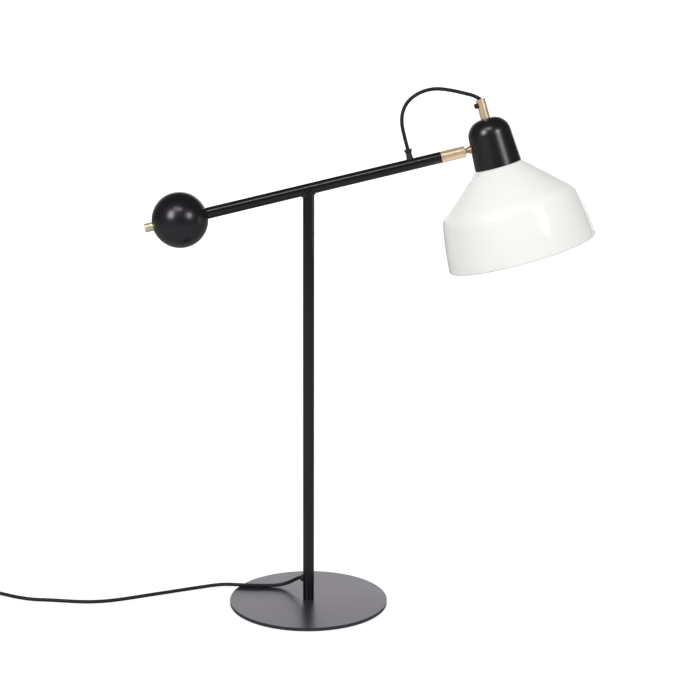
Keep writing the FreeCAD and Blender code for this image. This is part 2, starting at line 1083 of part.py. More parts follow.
def shade_profile():
    """The shade's outer corners from its neck down to its rim."""
    throat_depth = -cap_mouth + soft_gap
    return [
        (shade_neck_radius, holder_flange_top - holder_flange_height - soft_gap, shade_seat_rounding),
        (shade_neck_radius, -throat_depth, shade_neck_rounding),
        (shade_throat_radius, -throat_depth, shade_throat_rounding),
        (shade_shoulder_radius, -shade_shoulder_depth, shade_shoulder_rounding),
        (shade_belly_radius, -shade_belly_depth, shade_belly_rounding),
        (shade_rim_radius, -shade_rim_depth, shade_rim_rounding),
    ]


def shade():
    outer = shade_profile()
    seat = shade_seat_hole / 2
    top = outer[0][1]
    inner = offset_corners([(seat, top)] + [corner[:2] for corner in outer], -shade_wall)
    inner_rounds = [0] + [corner[2] for corner in outer]
    inner_rounds[1] = shade_seat_rounding - shade_wall
    inner_rounds[2] = shade_neck_rounding + shade_wall
    inner_rounds[3] = shade_throat_rounding
    inner_rounds[4] = shade_shoulder_rounding - shade_wall
    back = [(point.x, point.z, rounding) for point, rounding in zip(inner, inner_rounds)]
    return on_head(turned([(seat, top)] + outer + back[::-1]))


def shade_ring():
    """The notched ring that screws up the skirt and holds the shade."""
    outer = shade_ring_diameter / 2
    top = holder_flange_top - holder_flange_height - soft_gap * 2 - shade_wall
    body = turned(
        [
            (holder_skirt_diameter / 2 + fit_gap, top - shade_ring_height),
            (outer, top - shade_ring_height, edge_break),
            (outer, top, edge_break),
            (holder_skirt_diameter / 2 + fit_gap, top),
        ]
    )
    notches = []
    for i in range(shade_ring_notches):
        place = polar(outer + shade_ring_notch / 4, 360 * i / shade_ring_notches)
        foot = place + up * (top - shade_ring_height - overrun)
        notches.append(cylinder(shade_ring_notch / 2, shade_ring_height + overrun * 2, foot))
    return on_head(body.cut(notches))


# Bulb


def bulb_cap():
    """The bulb's threaded brass cap with its end button."""
    crest = bulb_cap_diameter / 2
    root = crest - bulb_thread_depth
    top = bulb_top() - bulb_button_height
    bottom = top - bulb_cap_length
    corners = [(0, bottom), (crest, bottom)]
    thread_foot = bottom + bulb_thread_pitch / 2
    for i in range(bulb_thread_turns):
        corners.append((root, thread_foot + bulb_thread_pitch * i, edge_break))
        corners.append((crest, thread_foot + bulb_thread_pitch * (i + 1 / 2), edge_break))
    corners += [
        (root, thread_foot + bulb_thread_pitch * bulb_thread_turns, edge_break),
        (bulb_button / 2, top),
        (bulb_button / 2, bulb_top(), edge_break),
        (0, bulb_top()),
    ]
    inside = cylinder(root - bulb_wall, bulb_cap_length - bulb_wall, up * bottom)
    return on_head(turned(corners).cut(inside))


def bulb_form(inset):
    """The bulb's outer form, or its inner form when inset by the glass."""
    top = bulb_top() - bulb_button_height - bulb_cap_length - bulb_glass_gap
    bottom = bulb_top() - bulb_length + inset
    neck = bulb_neck_diameter / 2 - inset
    belly = bulb_diameter / 2 - inset
    middle = bottom + belly
    neck_end = top - bulb_neck_length
    waist_share = 0.45
    waist = Vector((neck + belly) / 2, 0, neck_end + (middle - neck_end) * waist_share)
    side = Part.BSplineCurve()
    side.interpolate(
        [Vector(neck, 0, neck_end), waist, Vector(belly, 0, middle)],
        InitialTangent=Vector(0, 0, -1),
        FinalTangent=Vector(0, 0, -1),
    )
    low = Vector(belly * math.sqrt(1 / 2), 0, middle - belly * math.sqrt(1 / 2))
    edges = [
        Part.LineSegment(Vector(0, 0, top), Vector(neck, 0, top)).toShape(),
        Part.LineSegment(Vector(neck, 0, top), Vector(neck, 0, neck_end)).toShape(),
        side.toShape(),
        Part.Arc(Vector(belly, 0, middle), low, Vector(0, 0, bottom)).toShape(),
        Part.LineSegment(Vector(0, 0, bottom), Vector(0, 0, top)).toShape(),
    ]
    return Part.Face(Part.Wire(edges)).revolve(origin, up, 360)


def bulb_glass():
    return on_head(bulb_form(0).cut(bulb_form(bulb_wall)))


# Cords inside the lamp


def in_arm(station, side, offset):
    """A point given along, across and square to the arm."""
    return arm_pose().multVec(Vector(station, side, offset))


def inner_cord():
    """From the foot gland's mouth up the upright, along the arm and out of the arm's gland."""
    mouth = Vector(0, 0, tube_radius + gland_reach)
    turn_in = foot_gland_pose().multVec(Vector(0, 0, -inner_sidestep))
    past_arm = in_arm(0, 0, -inner_sidestep)
    slope = math.tan(math.radians(arm_angle))
    points = [
        foot_gland_pose().multVec(mouth),
        turn_in,
        Vector(turn_in.x, turn_in.y, tee_height / 2),
        Vector(-inner_sidestep, 0, tee_height * 3 / 4),
        Vector(-inner_sidestep, 0, past_arm.z - (past_arm.x + inner_sidestep) * slope),
        in_arm(arm_gland_station, 0, -inner_sidestep),
        in_arm(arm_gland_station, 0, tube_radius + gland_reach),
    ]
    rounds = [0, inner_bend, inner_gentle_bend, inner_gentle_bend, inner_bend, inner_bend, 0]
    return tube_along(path_edges(points, rounds), cord_radius)


def head_cord_ends():
    top = cap_top + grip_length
    bottom = cap_top - grip_thread_length
    return Vector(0, 0, top), Vector(0, 0, bottom)


def head_cord():
    """The sheathed cord through the grip."""
    top, bottom = head_cord_ends()
    return on_head(cylinder(cord_radius, (top - bottom).Length, bottom))


def holder_wires():
    """The two cores that leave the sheath and end in the terminals."""
    _, start = head_cord_ends()
    wires = []
    for place in terminal_places():
        side = math.copysign(wire_diameter / 2 + fit_gap, place.y)
        points = [
            Vector(0, side, start.z),
            Vector(0, side, start.z - wire_diameter),
            Vector(0, place.y, place.z + wire_diameter),
            Vector(0, place.y, place.z - terminal_depth / 2),
        ]
        edges = path_edges(points, [0, wire_diameter, wire_diameter, 0])
        wires.append(on_head(tube_along(edges, wire_diameter / 2)))
    return Part.makeCompound(wires)


# Loop between arm and head


def loop_route():
    start = in_arm(arm_gland_station, 0, tube_radius + gland_reach)
    end = head_pose().multVec(head_cord_ends()[0])
    span = (end - start).Length
    along = (end - start).normalize()
    aside = up.cross(along).normalize()
    above = along.cross(aside)
    points = [start]
    for share_along, share_above, share_aside in loop_shares:
        shift = along * share_along + above * share_above + aside * share_aside
        points.append(start + shift * span)
    return points + [end]


# Mains cord


def rest_height():
    """The height of the cord's middle where it rests on the table."""
    return cord_radius + cord_lift


def switch_pose():
    """The switch's frame on the table: X away from the lamp along the cord."""
    x, y = switch_place
    return Placement(Vector(x, y, 0), Rotation(up, switch_heading))


def switch_split():
    return switch_height * switch_split_share


def mains_route():
    """From the foot gland over the foot and the table to the sheath's end in the switch."""
    foot_radius = base_diameter / 2
    points = [foot_gland_pose().multVec(Vector(0, 0, tube_radius + gland_reach))]
    for (share_x, share_y), lift in zip(foot_route_shares, foot_route_lifts):
        height = base_top + rest_height() + lift
        points.append(Vector(share_x * foot_radius, share_y * foot_radius, height))
    for x, y, lift in table_route:
        points.append(Vector(x, y, rest_height() + lift))
    for x in (-switch_length / 2 - switch_run, switch_cord_in - switch_length / 2):
        points.append(switch_pose().multVec(Vector(x, 0, switch_split())))
    return points


def lead_route():
    """From the switch down to the coil's first turn."""
    start = switch_length / 2 - switch_cord_in
    end = switch_length / 2 + coil_lead
    points = []
    for share, height in zip(lead_shares, (switch_split(), switch_split(), rest_height(), rest_height())):
        points.append(switch_pose().multVec(Vector(start + share * (end - start), 0, height)))
    return points


def coil_step():
    return cord_diameter + coil_gap


def coil_edges():
    """Half turns that spiral in on the table, climb one layer and spiral out on top."""
    inward = coil_halves // 2
    widest = coil_middle_diameter / 2 + coil_step() * inward / 4
    point = Vector(switch_length / 2 + coil_lead, 0, rest_height())
    heading = Vector(1, 0, 0)
    edges = []
    for i in range(coil_halves):
        radius = widest - coil_step() / 2 * (inward - abs(i - inward))
        aside = up.cross(heading)
        end = point + aside * (radius * 2)
        if i == inward:
            end += up * coil_step()
            reach = heading * math.hypot(radius, coil_step() / 2)
            middle = (point + end) / 2 + reach
            for a, b, corner in ((point, middle, point + reach), (middle, end, end + reach)):
                centre = a + b - corner
                through = centre + (corner - centre).normalize() * (a - centre).Length
                edges.append(Part.Arc(a, through, b).toShape())
        else:
            through = point + aside * radius + heading * radius
            edges.append(Part.Arc(point, through, end).toShape())
        point = end
        heading = heading * -1
    return [placed(edge, switch_pose()) for edge in edges]


def coil_exit():
    """The end of the coil and the direction in which the cord leaves it."""
    last = coil_edges()[-1]
    return last.valueAt(last.LastParameter), last.tangentAt(last.LastParameter)


def plug_entry_pose():
    """Where the cord enters the plug's strain relief, X into it."""
    x, y = plug_place
    return Placement(Vector(x, y, plug_thickness / 2), Rotation(up, plug_heading))


def plug_pose():
    """The plug's frame: X out of its face, origin in the middle of the face."""
    length = plug_front_length + plug_taper_length + relief_length
    return plug_entry_pose().multiply(Placement(Vector(length, 0, 0), Rotation()))


def lead_out_route():
    """From the coil's top turn to the plug's strain relief."""
    start, heading = coil_exit()
    points = [start, start + heading * plug_first_run]
    points += [Vector(x, y, rest_height() + lift) for x, y, lift in plug_route]
    for x in (-plug_last_run, 0):
        points.append(plug_entry_pose().multVec(Vector(x, 0, 0)))
    return points


def least_coil_gap(edges):
    """The least gap between two turns of the coil, from points along its middle line."""
    wire = Part.Wire(edges)
    spacing = cord_diameter / 4
    points = wire.discretize(Distance=spacing)
    skip = int(math.pi * cord_diameter / spacing)
    gaps = []
    for i, point in enumerate(points):
        gaps += [(point - other).Length for other in points[i + skip :]]
    return min(gaps) - cord_diameter


# In-line switch


def rounded_bar(length, width, corner, low, high):
    """An upright bar centred on the origin with its four upright edges rounded."""
    x, y = length / 2, width / 2
    points = [Vector(x, y, low), Vector(-x, y, low), Vector(-x, -y, low), Vector(x, -y, low)]
    plan = Part.Wire(path_edges(points, [corner] * len(points), closed=True))
    return Part.Face(plan).extrude(up * (high - low))


def flat_rims(shape, height):
    """The edges of a shape that lie at one height."""
    near = edge_break / 10
    rims = []
    for edge in shape.Edges:
        box = edge.BoundBox
        if abs(box.ZMin - height) < near and box.ZLength < near:
            rims.append(edge)
    return rims


def switch_form():
    """The switch's whole case, hollow, with the cord's holes in its ends."""
    body = rounded_bar(switch_length, switch_width, switch_end_rounding, 0, switch_height)
    rims = flat_rims(body, 0) + flat_rims(body, switch_height)
    body = body.makeFillet(switch_edge_rounding, rims)
    hollow = rounded_bar(
        switch_length - switch_wall * 2,
        switch_width - switch_wall * 2,
        switch_end_rounding - switch_wall,
        switch_wall,
        switch_height - switch_wall,
    )
    cord_hole = cylinder(
        cord_radius + soft_gap,
        switch_length + overrun * 2,
        Vector(-switch_length / 2 - overrun, 0, switch_split()),
        Vector(1, 0, 0),
    )
    return body.cut([hollow, cord_hole])


def switch_screw_places():
    x = switch_length / 2 - switch_screw_inset
    y = switch_width / 2 - switch_wall - switch_screw_head / 3
    return [Vector(x, y, 0), Vector(-x, -y, 0)]


def half_space(low, high):
    return block(switch_length * 2, switch_width * 2, high - low, Vector(0, 0, low))


def switch_base():
    body = switch_form().common(half_space(-overrun, switch_split()))
    drills = []
    head_depth = switch_screw_head_height + switch_screw_sunk
    for place in switch_screw_places():
        post = cylinder(switch_post / 2, switch_split(), place)
        body = body.fuse(post.common(half_space(switch_edge_rounding, switch_split())))
        drills.append(cylinder(switch_screw_diameter / 2 + fit_gap, switch_height, place))
        drills.append(cylinder(switch_screw_head / 2 + fit_gap, head_depth, place))
    return placed(body.cut(drills).removeSplitter(), switch_pose())


def rocker_axis_height():
    return switch_height - rocker_pin_below


def rocker_swing_radius():
    return math.hypot(rocker_length / 2, rocker_pin_below)


def switch_cover():
    body = switch_form().common(half_space(switch_split(), switch_height + overrun))
    drills = []
    post_height = switch_height - switch_wall / 2 - switch_split()
    for place in switch_screw_places():
        foot = place + up * switch_split()
        body = body.fuse(cylinder(switch_post / 2, post_height, foot))
        drills.append(cylinder(switch_screw_diameter / 2 + fit_gap, switch_thread_depth, foot))
    cheek_y = rocker_width / 2 + rocker_gap
    low = rocker_axis_height() - rocker_cheek_length / 2
    for side in (1, -1):
        cheek = block(
            rocker_cheek_length,
            rocker_cheek,
            switch_height - switch_wall / 2 - low,
            Vector(0, side * (cheek_y + rocker_cheek / 2), low),
        )
        body = body.fuse(cheek)
    window = block(
        (rocker_swing_radius() + rocker_gap) * 2,
        cheek_y * 2,
        switch_height,
        Vector(0, 0, switch_split()),
    )
    pin_hole = cylinder(
        rocker_pin / 2 + running_gap,
        cheek_y * 2 + rocker_cheek * 4,
        Vector(0, -cheek_y - rocker_cheek * 2, rocker_axis_height()),
        Vector(0, 1, 0),
    )
    return placed(body.cut(drills + [window, pin_hole]).removeSplitter(), switch_pose())


def rocker_pose():
    """The rocker's frame on its pin, pressed down at the end towards the plug."""
    turn = Rotation(Vector(0, 1, 0), rocker_throw)
    return switch_pose().multiply(Placement(Vector(0, 0, rocker_axis_height()), turn))


def switch_rocker():
    reach = rocker_swing_radius()
    middle = rocker_pin_below + rocker_rise
    end = middle + reach * math.tan(math.radians(rocker_throw))
    corners = [
        (-reach, end),
        (0, middle),
        (reach, end),
        (reach, 0),
        (reach / 2, -rocker_drop),
        (-reach / 2, -rocker_drop),
        (-reach, 0),
    ]
    side = Part.Face(outline(corners)).extrude(Vector(0, rocker_width, 0))
    side.translate(Vector(0, -rocker_width / 2, 0))
    swing = cylinder(reach, rocker_width * 2, Vector(0, -rocker_width, 0), Vector(0, 1, 0))
    pin_length = rocker_width + (rocker_gap + rocker_cheek) * 2
    pin = cylinder(rocker_pin / 2, pin_length, Vector(0, -pin_length / 2, 0), Vector(0, 1, 0))
    return placed(side.common(swing).fuse(pin).removeSplitter(), rocker_pose())


def switch_bridge():
    """The metal strip under the rocker that joins the two terminals."""
    foot = Vector(0, 0, -rocker_drop - bridge_thickness)
    return placed(block(bridge_length, bridge_width, bridge_thickness, foot), rocker_pose())


def terminal_block_place(side):
    return Vector(side * block_spacing / 2, bridge_aside, switch_wall)


def switch_terminals():
    """Two metal blocks that stand in the case, each with a hole for a wire."""
    blocks = []
    for side in (1, -1):
        place = terminal_block_place(side)
        body = block(block_length, block_width, block_height, place)
        hole = cylinder(
            wire_diameter / 2 + fit_gap,
            block_length,
            place + up * (block_height / 2) + Vector(side * block_length / 4, 0, 0),
            Vector(side, 0, 0),
        )
        blocks.append(placed(body.cut(hole), switch_pose()))
    return Part.makeCompound(blocks)


def switch_wires():
    """The core that runs through, and the two ends of the core that is switched."""
    sheath = switch_length / 2 - switch_cord_in
    beside = wire_diameter / 2 + fit_gap
    height = switch_split()
    step = wire_diameter
    wires = []
    low = switch_wall + block_height / 2
    through = [
        Vector(-sheath, -beside, height),
        Vector(step - sheath, -beside, height),
        Vector(step * 3 - sheath, -bridge_aside, low),
        Vector(sheath - step * 3, -bridge_aside, low),
        Vector(sheath - step, -beside, height),
        Vector(sheath, -beside, height),
    ]
    wires.append(tube_along(path_edges(through, [0, step, step, step, step, 0]), step / 2))
    for side in (1, -1):
        place = terminal_block_place(side)
        inside = place.x + side * block_length / 4
        outside = place.x + side * (block_length / 2 + step / 2)
        points = [
            Vector(side * sheath, beside, height),
            Vector(side * (sheath - step / 2), beside, height),
            Vector(outside, place.y, low),
            Vector(inside, place.y, low),
        ]
        wires.append(tube_along(path_edges(points, [0, step / 2, step / 2, 0]), step / 2))
    return Part.makeCompound([placed(wire, switch_pose()) for wire in wires])


def switch_screws():
    screws = []
    length = switch_split() + switch_thread_depth - fit_gap - switch_screw_sunk
    for place in switch_screw_places():
        foot = place + up * switch_screw_sunk
        head = cylinder(switch_screw_head / 2, switch_screw_head_height, foot)
        shank = cylinder(switch_screw_diameter / 2, length, foot)
        screws.append(placed(head.fuse(shank).removeSplitter(), switch_pose()))
    return Part.makeCompound(screws)


# Plug


def plug_body():
    """The moulded body with its ribbed strain relief."""
    half = plug_width / 2
    back = plug_back_width / 2
    waist = plug_front_length
    length = plug_front_length + plug_taper_length
    low = -plug_thickness / 2
    one_side = [(0, half), (-waist, half), (-length, back)]
    corners = one_side + [(x, -y) for x, y in one_side[::-1]]
    points = [Vector(x, y, low) for x, y in corners]
    rounds = [plug_corner, plug_corner * 2, plug_corner, plug_corner, plug_corner * 2, plug_corner]
    plan = Part.Wire(path_edges(points, rounds, closed=True))
    body = Part.Face(plan).extrude(up * plug_thickness)
    body = body.makeFillet(plug_edge_rounding, flat_rims(body, low) + flat_rims(body, -low))
    pitch = (relief_length - relief_groove_width) / relief_grooves
    corners = [(0, 0), (relief_large / 2, 0)]
    taper = (relief_large - relief_small) / 2 / relief_length
    for i in range(relief_grooves):
        start = relief_groove_width + i * pitch
        end = start + relief_groove_width
        corners += [
            (relief_large / 2 - start * taper, start),
            (relief_large / 2 - start * taper - relief_groove, start),
            (relief_large / 2 - end * taper - relief_groove, end),
            (relief_large / 2 - end * taper, end),
        ]
    corners += [(relief_small / 2, relief_length), (0, relief_length)]
    relief = placed(
        turned(corners),
        Placement(Vector(-length, 0, 0), Rotation(Vector(0, 1, 0), -90)),
    )
    sockets = []
    for y in pin_offsets():
        root = Vector(-pin_root, y, 0)
        sockets.append(cylinder(pin_core_diameter / 2, pin_root, root, Vector(1, 0, 0)))
    bore = cylinder(
        cord_radius,
        relief_length + plug_taper_length / 2,
        Vector(-length - relief_length, 0, 0),
        Vector(1, 0, 0),
    )
    return placed(body.fuse(relief).cut(sockets + [bore]).removeSplitter(), plug_pose())


def pin_offsets():
    return [side * pin_spacing / 2 for side in (1, -1)]


def plug_pins():
    """The two contact pins, thinner where their sleeves sit."""
    pins = []
    core_length = pin_root + pin_sleeve_length
    tip_length = pin_length - pin_sleeve_length
    for y in pin_offsets():
        root = Vector(-pin_root, y, 0)
        core = cylinder(pin_core_diameter / 2, core_length, root, Vector(1, 0, 0))
        step = Vector(pin_sleeve_length, y, 0)
        tip = cylinder(pin_diameter / 2, tip_length, step, Vector(1, 0, 0))
        rim = [edge for edge in tip.Edges if edge.BoundBox.XMin > pin_length - edge_break]
        tip = tip.makeFillet(pin_diameter / 2 - edge_break, rim)
        pins.append(placed(core.fuse(tip).removeSplitter(), plug_pose()))
    return Part.makeCompound(pins)


def pin_sleeves():
    sleeves = []
    for y in pin_offsets():
        foot = Vector(0, y, 0)
        sleeve = cylinder(pin_sleeve_diameter / 2, pin_sleeve_length, foot, Vector(1, 0, 0))
        core = cylinder(pin_core_diameter / 2, pin_sleeve_length, foot, Vector(1, 0, 0))
        sleeves.append(placed(sleeve.cut(core), plug_pose()))
    return Part.makeCompound(sleeves)


def plug_cord_end():
    """The cord's end inside the plug."""
    length = plug_front_length + plug_taper_length + relief_length
    inside = relief_length + plug_taper_length / 2
    return placed(cylinder(cord_radius, inside, Vector(-length, 0, 0), Vector(1, 0, 0)), plug_pose())


NODES = {
    "base_plate": base_plate,
    "base_pad": base_pad,
    "base_screw": base_screw,
    "foot_insert": foot_insert,
    "stem_tube": stem_tube,
    "arm_tube": arm_tube,
    "tee_weld": tee_weld,
    "foot_gland": foot_gland,
    "arm_gland": arm_gland,
    "tail_insert": tail_insert,
    "ball_weight": ball_weight,
    "ball_rod": ball_rod,
    "ball_finial": ball_finial,
    "joint_sleeve": joint_sleeve,
    "joint_retainer": joint_retainer,
    "friction_cup": friction_cup,
    "disc_springs": disc_springs,
    "ball_stud": ball_stud,
    "joint_collar": joint_collar,
    "joint_nut": joint_nut,
    "head_cap": head_cap,
    "cord_grip": cord_grip,
    "grip_screw": grip_screw,
    "grip_nut": grip_nut,
    "holder_cap": holder_cap,
    "holder_skirt": holder_skirt,
    "holder_core": holder_core,
    "holder_terminals": holder_terminals,
    "screw_shell": screw_shell,
    "centre_contact": centre_contact,
    "shade": shade,
    "shade_ring": shade_ring,
    "bulb_cap": bulb_cap,
    "bulb_glass": bulb_glass,
    "head_cord": head_cord,
    "holder_wires": holder_wires,
    "inner_cord": inner_cord,
    "switch_base": switch_base,
    "switch_cover": switch_cover,
    "switch_rocker": switch_rocker,
    "switch_bridge": switch_bridge,
    "switch_terminals": switch_terminals,
    "switch_wires": switch_wires,
    "switch_screws": switch_screws,
    "plug_body": plug_body,
    "plug_pins": plug_pins,
    "pin_sleeves": pin_sleeves,
    "plug_cord_end": plug_cord_end,
}


def free_cords():
    """Each free stretch of cord: its points, and the mouths that it comes out of."""
    gland_mouth = tube_radius + gland_reach
    arm_mouth = mouth_block(arm_gland_pose(), gland_mouth)
    foot_mouth = mouth_block(foot_gland_pose(), gland_mouth)
    grip_end = mouth_block(head_pose(), cap_top + grip_length)
    return {
        "loop_cord": (loop_route(), [arm_mouth, grip_end]),
        "mains_cord": (mains_route(), [foot_mouth]),
        "switch_lead": (lead_route(), []),
        "plug_lead": (lead_out_route(), []),
    }


def main():
    os.makedirs("parts", exist_ok=True)
    for name, make in NODES.items():
        make().exportStep(f"parts/{name}.step")
    for name, (points, mouths) in free_cords().items():
        edges, tube = free_cord(points, mouths)
        report_cord(name, edges, tube)
        print("  points", [tuple(round(value, 2) for value in point) for point in points])
        tube.exportStep(f"parts/{name}.step")
    edges = coil_edges()
    coil = tube_along(edges, cord_radius)
    report_cord("mains_coil", edges, coil)
    print(f"  least gap between turns {least_coil_gap(edges):.2f}")
    coil.exportStep("parts/mains_coil.step")


main()
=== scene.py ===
import json
import math

import bpy
from mathutils import Matrix, Vector

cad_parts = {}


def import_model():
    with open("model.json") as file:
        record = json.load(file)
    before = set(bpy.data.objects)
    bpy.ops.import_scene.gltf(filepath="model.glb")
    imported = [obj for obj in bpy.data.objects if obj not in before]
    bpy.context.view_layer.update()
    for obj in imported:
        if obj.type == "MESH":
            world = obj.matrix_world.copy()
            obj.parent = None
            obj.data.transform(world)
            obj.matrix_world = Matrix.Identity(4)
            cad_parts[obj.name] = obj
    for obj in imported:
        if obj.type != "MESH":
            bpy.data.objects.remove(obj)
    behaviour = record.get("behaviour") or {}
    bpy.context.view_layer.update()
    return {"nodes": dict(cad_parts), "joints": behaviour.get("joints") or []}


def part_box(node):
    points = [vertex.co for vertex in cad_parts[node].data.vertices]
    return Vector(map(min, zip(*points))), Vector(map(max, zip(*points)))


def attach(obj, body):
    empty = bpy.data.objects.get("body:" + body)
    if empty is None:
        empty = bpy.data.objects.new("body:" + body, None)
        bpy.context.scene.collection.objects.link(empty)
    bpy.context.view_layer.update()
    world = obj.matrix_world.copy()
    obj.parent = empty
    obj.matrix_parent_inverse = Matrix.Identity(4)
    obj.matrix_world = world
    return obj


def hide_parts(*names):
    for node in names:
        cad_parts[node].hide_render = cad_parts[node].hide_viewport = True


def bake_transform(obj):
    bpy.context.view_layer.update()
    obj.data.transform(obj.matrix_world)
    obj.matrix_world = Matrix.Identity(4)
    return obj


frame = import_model()
bpy.ops.object.select_all(action="DESELECT")

# A desk lamp: a round foot, an upright tube, a slanting cross arm with a ball weight at its tail,
# and a glass shade on a ball joint at its head. Metres, +Z up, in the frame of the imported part.

# Camera, measured from the photograph: metres and degrees, its film and lens in millimetres
CAMERA_PLACE = Vector((-0.14696, -2.34358, 0.91464))
CAMERA_YAW = 5.02
CAMERA_PITCH = 12.85
CAMERA_ROLL = -0.33
CAMERA_SIGHT = 100
FILM_WIDTH = 36.0
FOCAL_LENGTH = 87.43

# Cord
CORD_DIAMETER = 0.0052
CORD_CURVE_ORDER = 3
CORD_CURVE_STEPS = 12
CORD_ROUNDNESS = 5

# The loop from the arm's gland up and over to the grip on the cap
LOOP_ROUTE = [
    (0.13774, 0.0, 0.66209),
    (0.13295, 0.00018, 0.67903),
    (0.12861, 0.00037, 0.69746),
    (0.12925, 0.00064, 0.7125),
    (0.13527, 0.001, 0.72635),
    (0.14643, 0.00144, 0.73633),
    (0.16047, 0.002, 0.74298),
    (0.17702, 0.00254, 0.74573),
    (0.19747, 0.00311, 0.74318),
    (0.21755, 0.00366, 0.73861),
    (0.23052, 0.00393, 0.73537),
    (0.23825, 0.00399, 0.73076),
]

# The mains cord from the foot's gland over the foot and the table, through the switch
MAINS_ROUTE = [
    (-0.00661, 0.02035, 0.0304),
    (-0.00963, 0.02797, 0.02875),
    (-0.01376, 0.036, 0.02415),
    (-0.02018, 0.04254, 0.01825),
    (-0.02924, 0.04689, 0.01255),
    (-0.04104, 0.0485, 0.00905),
    (-0.05503, 0.04896, 0.00845),
    (-0.072, 0.05113, 0.00845),
    (-0.09, 0.05343, 0.00845),
    (-0.10605, 0.05664, 0.00845),
    (-0.1215, 0.062, 0.00745),
    (-0.1375, 0.0662, 0.00495),
    (-0.155, 0.0648, 0.00315),
    (-0.176, 0.0588, 0.00265),
    (-0.204, 0.0486, 0.00265),
    (-0.238, 0.0366, 0.00265),
    (-0.268, 0.0252, 0.00265),
    (-0.296, 0.0174, 0.00265),
    (-0.324, 0.0166, 0.00265),
    (-0.352, 0.022, 0.00265),
    (-0.378, 0.0284, 0.00265),
    (-0.402, 0.032, 0.00265),
    (-0.424, 0.042, 0.00265),
    (-0.446, 0.054, 0.00355),
    (-0.467, 0.0624, 0.00645),
    (-0.48609, 0.06649, 0.0085),
    (-0.50404, 0.06774, 0.0085),
    (-0.53996, 0.07026, 0.0085),
    (-0.56644, 0.07211, 0.0085),
    (-0.58704, 0.07355, 0.00265),
    (-0.59881, 0.07437, 0.00265),
]

# The coil that follows: half turns that spiral in on the table, climb one layer and spiral out.
# Its heading is in degrees.
COIL_HEADING = 176.0
COIL_MIDDLE_RADIUS = 0.0312
COIL_STEP = 0.0058
COIL_HALVES = 11
COIL_POINTS_PER_HALF = 7

# From the coil into the plug
PLUG_ROUTE = [
    (-0.58722, -0.00934, 0.00845),
    (-0.5746, -0.0155, 0.00755),
    (-0.56529, -0.02594, 0.00685),
    (-0.5605, -0.0391, 0.00685),
    (-0.54887, -0.07105, 0.00685),
]

# Felt under the foot
FELT_SIDES = 160
FELT_INSET = 0.001
FELT_BEVEL = 0.00025
FELT_BEVEL_STEPS = 3

SMOOTH_ANGLE = math.radians(35)
UP = Vector((0, 0, 1))

# The studio's light on matt surfaces from the horizon up to the ceiling, and in glossy reflections.
# The spans are parts of a direction's length.
STUDIO_LIGHT = 1.3
CEILING_LIGHT = 0.06
CEILING_SPAN = (0.1, 0.9)
STUDIO_IN_SHEEN = 0.1

# The lit backdrop behind the object: it fades to the sides and upwards, and is dimmer on its left
BACKDROP_LIGHT = 2.8
BACKDROP_LEFT = 0.8
BACKDROP_LEFT_SPAN = (-0.24, -0.06)
BACKDROP_SIDE_SPAN = (0.75, 0.95)
BACKDROP_TOP_SPAN = (0.28, 0.43)

# The floor, and the glow by which the camera sees it fade to white away from the object
FLOOR_SIZE = 24
FLOOR_COLOUR = (0.4, 0.4, 0.4)
FLOOR_ROUGHNESS = 0.7
FLOOR_SPECULAR = 0.2
FLOOR_GLOW = (0.76, 1.0)
FLOOR_GLOW_RADII = (0.8, 3.0)

# Each softbox: its name, place, aim, width, height and power in watts
SOFTBOXES = [
    ("left softbox", (-1.69, -1.84, 1.74), (0.0, 0.0, 0.5), 0.85, 1.15, 27.5),
    ("right softbox", (1.53, -1.94, 1.66), (0.1, 0.0, 0.45), 0.78, 0.8, 15.5),
    ("arm softbox", (-0.43, -1.32, 2.31), (-0.03, 0.0, 0.59), 1.1, 0.22, 7),
]


def centre(node):
    """The middle of a node's box."""
    low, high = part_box(node)
    return (low + high) / 2


# Node groups: effects that several finishes share


def new_group(name, inputs, outputs):
    """A node group with its sockets, and its input and output nodes."""
    group = bpy.data.node_groups.new(name, "ShaderNodeTree")
    for label, kind, value in inputs:
        socket = group.interface.new_socket(label, in_out="INPUT", socket_type=kind)
        if value is not None:
            socket.default_value = value
    for label, kind in outputs:
        group.interface.new_socket(label, in_out="OUTPUT", socket_type=kind)
    return group, group.nodes.new("NodeGroupInput"), group.nodes.new("NodeGroupOutput")


def noise(tree, vector, scale, detail=3.0, roughness=0.55):
    """A cloudy mask."""
    node = tree.nodes.new("ShaderNodeTexNoise")
    node.inputs["Scale"].default_value = scale
    node.inputs["Detail"].default_value = detail
    node.inputs["Roughness"].default_value = roughness
    tree.links.new(vector, node.inputs["Vector"])
    return node.outputs["Fac"]


def maths(tree, operation, first, second=None, third=None):
    """A calculation with masks and plain numbers."""
    node = tree.nodes.new("ShaderNodeMath")
    node.operation = operation
    for socket, value in zip(node.inputs, (first, second, third)):
        if value is None:
            continue
        if isinstance(value, (int, float)):
            socket.default_value = value
        else:
            tree.links.new(value, socket)
    return node.outputs["Value"]


def ranged(tree, value, low, high, from_low=0.3, from_high=0.7):
    """Maps a mask onto a range, such as a range of roughness."""
    node = tree.nodes.new("ShaderNodeMapRange")
    node.inputs["From Min"].default_value = from_low
    node.inputs["From Max"].default_value = from_high
    node.inputs["To Min"].default_value = low
    node.inputs["To Max"].default_value = high
    tree.links.new(value, node.inputs["Value"])
    return node.outputs["Result"]


def mixed(tree, mask, first, second):
    """Goes from the first colour to the second as the mask rises."""
    node = tree.nodes.new("ShaderNodeMix")
    node.data_type = "RGBA"
    sockets = [socket for socket in node.inputs if socket.type == "RGBA"]
    for socket, value in zip(sockets, (first, second)):
        if isinstance(value, tuple):
            socket.default_value = (*value, 1)
        else:
            tree.links.new(value, socket)
    tree.links.new(mask, node.inputs["Factor"])
    return [socket for socket in node.outputs if socket.type == "RGBA"][0]


